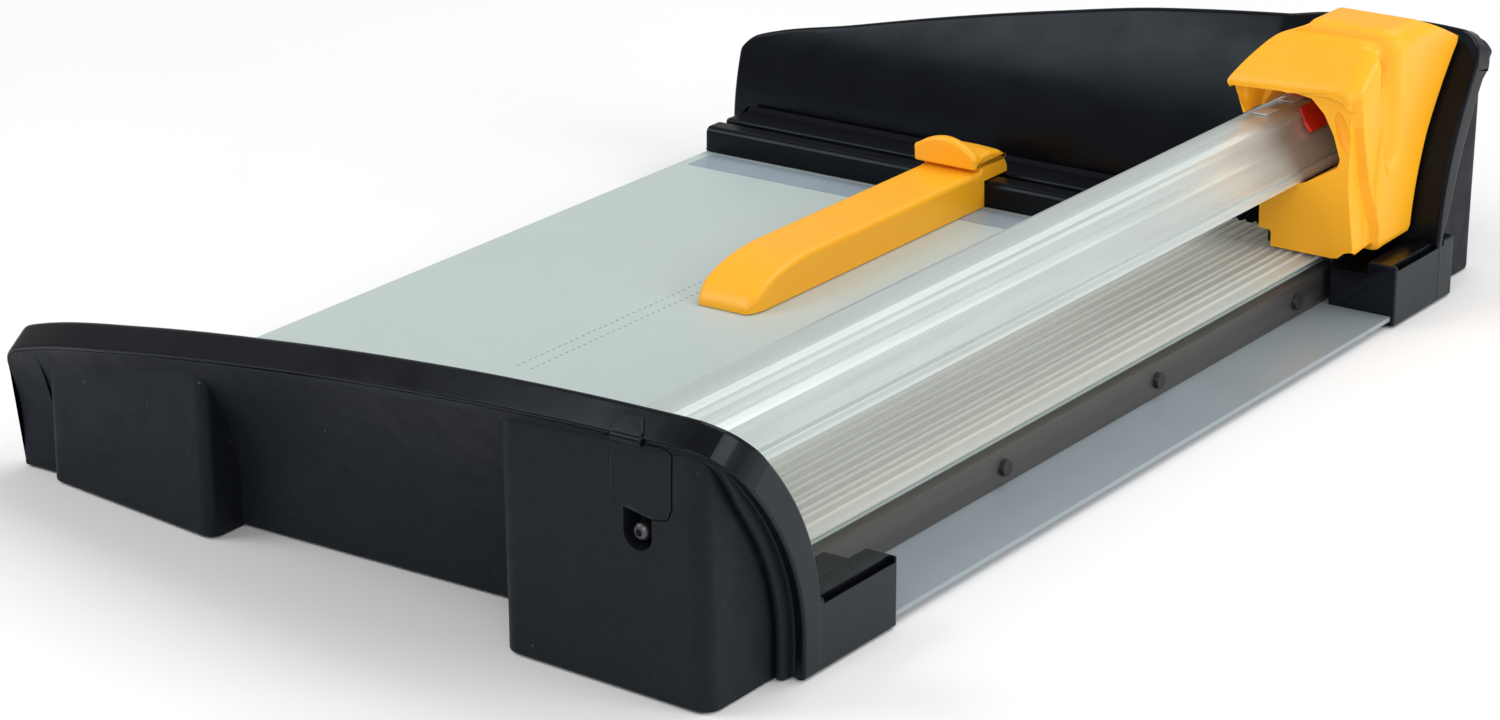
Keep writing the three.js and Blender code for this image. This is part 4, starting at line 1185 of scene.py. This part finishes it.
def paper_guide():
    """Long bar with a curved nose; its far end bridges the ledge."""
    low, high = GUIDE
    bottom = low.z
    top = bottom + 17
    nose = 50
    wall = LEDGE[0].y - 0.3
    back = wall + 19.3

    def height(y):
        along = min(1, (y - low.y) / nose)
        return bottom + 1.2 + (top - bottom - 1.2) * (1 - (1 - along) ** 2.3) ** 0.62

    def ring(y, saddle=False):
        crown = height(y)
        floor = LEDGE[1].z + 0.3 if saddle else bottom
        lift = BRIDGE_LIFT * ramp(y, wall - 3, wall - 1.4) * ramp(y, back, back - 1.5) if saddle else 0
        tip = 12 * (1 - math.sqrt(max(0, 1 - max(0, 1 - (y - low.y) / 12) ** 2)))
        left, right = low.x + tip * 0.35, high.x - tip * 0.35
        radius = min(2.6, (crown - floor) * 0.45)
        corners = [
            (left, floor, 0.3), (right, floor, 0.3), (right - 0.3, crown + lift, radius),
            (left + 0.3, crown + lift, radius),
        ]
        return [(u, y, v) for u, v in fillet(corners, 5)]

    places = [low.y + nose * (k / 26) ** 1.6 for k in range(27)]
    places += [mix(low.y + nose, wall, k / 12) for k in range(1, 13)]
    bar = loft("guide_bar", [ring(y) for y in places])
    bridge_places = [wall - 6, *(mix(wall - 3.2, back, k / 30) for k in range(31))]
    bridge = loft("guide_bridge", [ring(y, True) for y in bridge_places])
    combine(bar, [bridge], "UNION")
    bay = fillet([
        (GUIDE_CENTRE - 11, wall - 2.7, 1.5), (GUIDE_CENTRE + 11, wall - 2.7, 1.5),
        (GUIDE_CENTRE + 11, back - 2.9, 1.5), (GUIDE_CENTRE - 11, back - 2.9, 1.5),
    ], 4)
    combine(bar, [prism_z(bay, LEDGE[1].z + 1.6, 60)])
    put_on(bar, "guide", YELLOW, ["paper_guide"], crease=32)


def guide_lever():
    """Arched thumb plate with a rear wing, on a key that sits in the guide's bay."""
    _, pin_y, pin_z = middle_of("guide_lever_pin")
    left, right = -17.5, 15.7

    def ring(dx):
        across = dx / right
        arch = pin_z + mix(10.9, 7.9, (across + 1) / 2) + 6.4 * max(0, 1 - across**2)
        wing = pin_z + 8.2 + 0.9 * max(0, 1 - across**2)
        under = pin_z + 2.4
        corners = [
            (pin_y - 10.5, under, 0.9), (pin_y - 11.3, arch, 2.0), (pin_y - 5.6, arch - 0.6, 2.0),
            (pin_y - 4.8, wing, 1.2), (pin_y + 3, wing + 0.2, 4), (pin_y + 11, wing - 1.2, 4),
            (pin_y + 16.2, wing - 4.4, 2.0), (pin_y + 15.6, under + 0.8, 0.8),
            (pin_y - 4.2, under + 0.8, 0.4), (pin_y - 5.2, under, 0.3),
        ]
        return rounded_end(dx, fillet(corners, 4), left, right, 1.8, GUIDE_CENTRE)

    places = {right * math.sin(math.pi * k / 24) for k in range(-12, 13)}
    places.update(end_steps(left, right, 1.8))
    piece = loft("thumb_lever", [ring(dx) for dx in sorted(places)])
    key = fillet([
        (pin_y - 4.3, pin_z - 2, 1), (pin_y + 12.2, pin_z - 1.6, 1), (pin_y + 12.2, pin_z + 4, 0),
        (pin_y - 4.3, pin_z + 4, 0),
    ], 3)
    combine(piece, [sweep_x("key", key, GUIDE_CENTRE - 10.4, GUIDE_CENTRE + 10.4, 0.5)], "UNION")
    bore = circle(pin_y, pin_z, 1.6)
    combine(piece, [loft("cutter", [[(GUIDE_CENTRE + x, u, v) for u, v in bore] for x in (-14, 14)])])
    put_on(piece, "lever", YELLOW, ["guide_lever"], crease=32)


# ------------------------------------------------------------------ CAD pieces that stay
KEPT = {
    "base_plate": BASE_GREY, "ruler_strip": RULER_BLUE, "table_beam_": ALUMINIUM, "base_screw_": STEEL,
    "knife_screw_": DARK_STEEL, "near_rail_plug": CHARCOAL, "far_rail_plug": CHARCOAL, "clamp_spring_": STEEL,
    "glide_pad_": WHITE, "blade_cartridge": CHARCOAL, "wheel_axle": STEEL, "cutting_wheel": STEEL,
    "press_roller_": RUBBER, "roller_pin_": STEEL, "roller_yoke": CHARCOAL, "guide_shoe": CHARCOAL,
    "guide_lever_pin": STEEL, "lock_flap_pin": STEEL, "rubber_foot_": RUBBER,
}


def dress_kept_nodes():
    """Finishes for the CAD pieces whose own shape is shown."""
    for name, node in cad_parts.items():
        for start, finish in KEPT.items():
            if name.startswith(start):
                node.data.materials.clear()
                node.data.materials.append(finish)
                for face in node.data.polygons:
                    face.material_index = 0


# ------------------------------------------------------------------ studio
CAMERA_PLACE = (0.9384, -1.3761, 0.6024)
CAMERA_AZIMUTH = 34.6
CAMERA_ELEVATION = 19.63
CAMERA_LENS = 102.1


def studio():
    bpy.ops.mesh.primitive_plane_add(size=30)
    floor = bpy.context.object
    floor.name = "floor"
    paper = Surface("floor", (0.93, 0.93, 0.93), 0.85)
    paper.shade(paper.remap(paper.noise(3), 0.0, 1.0), (0.9, 0.9, 0.905))
    paper.bump(paper.noise(500), 0.02, 0.1)
    floor.data.materials.append(paper.material)

    world = bpy.data.worlds.new("studio")
    world.use_nodes = True
    sky = world.node_tree.nodes["Background"]
    sky.inputs["Color"].default_value = (1, 1, 1, 1)
    sky.inputs["Strength"].default_value = 0.42
    bpy.context.scene.world = world

    for name, place, size, power in (
        ("key", (-1.7, -1.3, 1.9), 1.4, 24), ("top", (0.5, 1.3, 2.4), 2.0, 30),
        ("side", (2.6, 0.3, 1.1), 1.4, 30), ("front", (1.1, -2.6, 1.5), 2.0, 32),
    ):
        light = bpy.data.lights.new(name, "AREA")
        light.size = size
        light.energy = power
        lamp = bpy.data.objects.new(name, light)
        lamp.location = place
        lamp.rotation_euler = (-Vector(place)).to_track_quat("-Z", "Y").to_euler()
        bpy.context.scene.collection.objects.link(lamp)

    camera = bpy.data.objects.new("camera", bpy.data.cameras.new("camera"))
    camera.location = CAMERA_PLACE
    camera.rotation_euler = (math.radians(90 - CAMERA_ELEVATION), 0, math.radians(CAMERA_AZIMUTH))
    camera.data.lens = CAMERA_LENS
    camera.data.sensor_width = 36
    bpy.context.scene.collection.objects.link(camera)
    bpy.context.scene.camera = camera
    bpy.context.scene.view_settings.view_transform = "Standard"


near_frame()
near_cover()
hinge_tab()
slot_screw()
lock_flap()
far_frame()
far_cover()
guide_rail()
alignment_ledge()
work_table()
printed_marks()
lower_knife()
clamp_strip()
head_hood()
head_sled()
paper_guide()
guide_lever()
dress_kept_nodes()
studio()
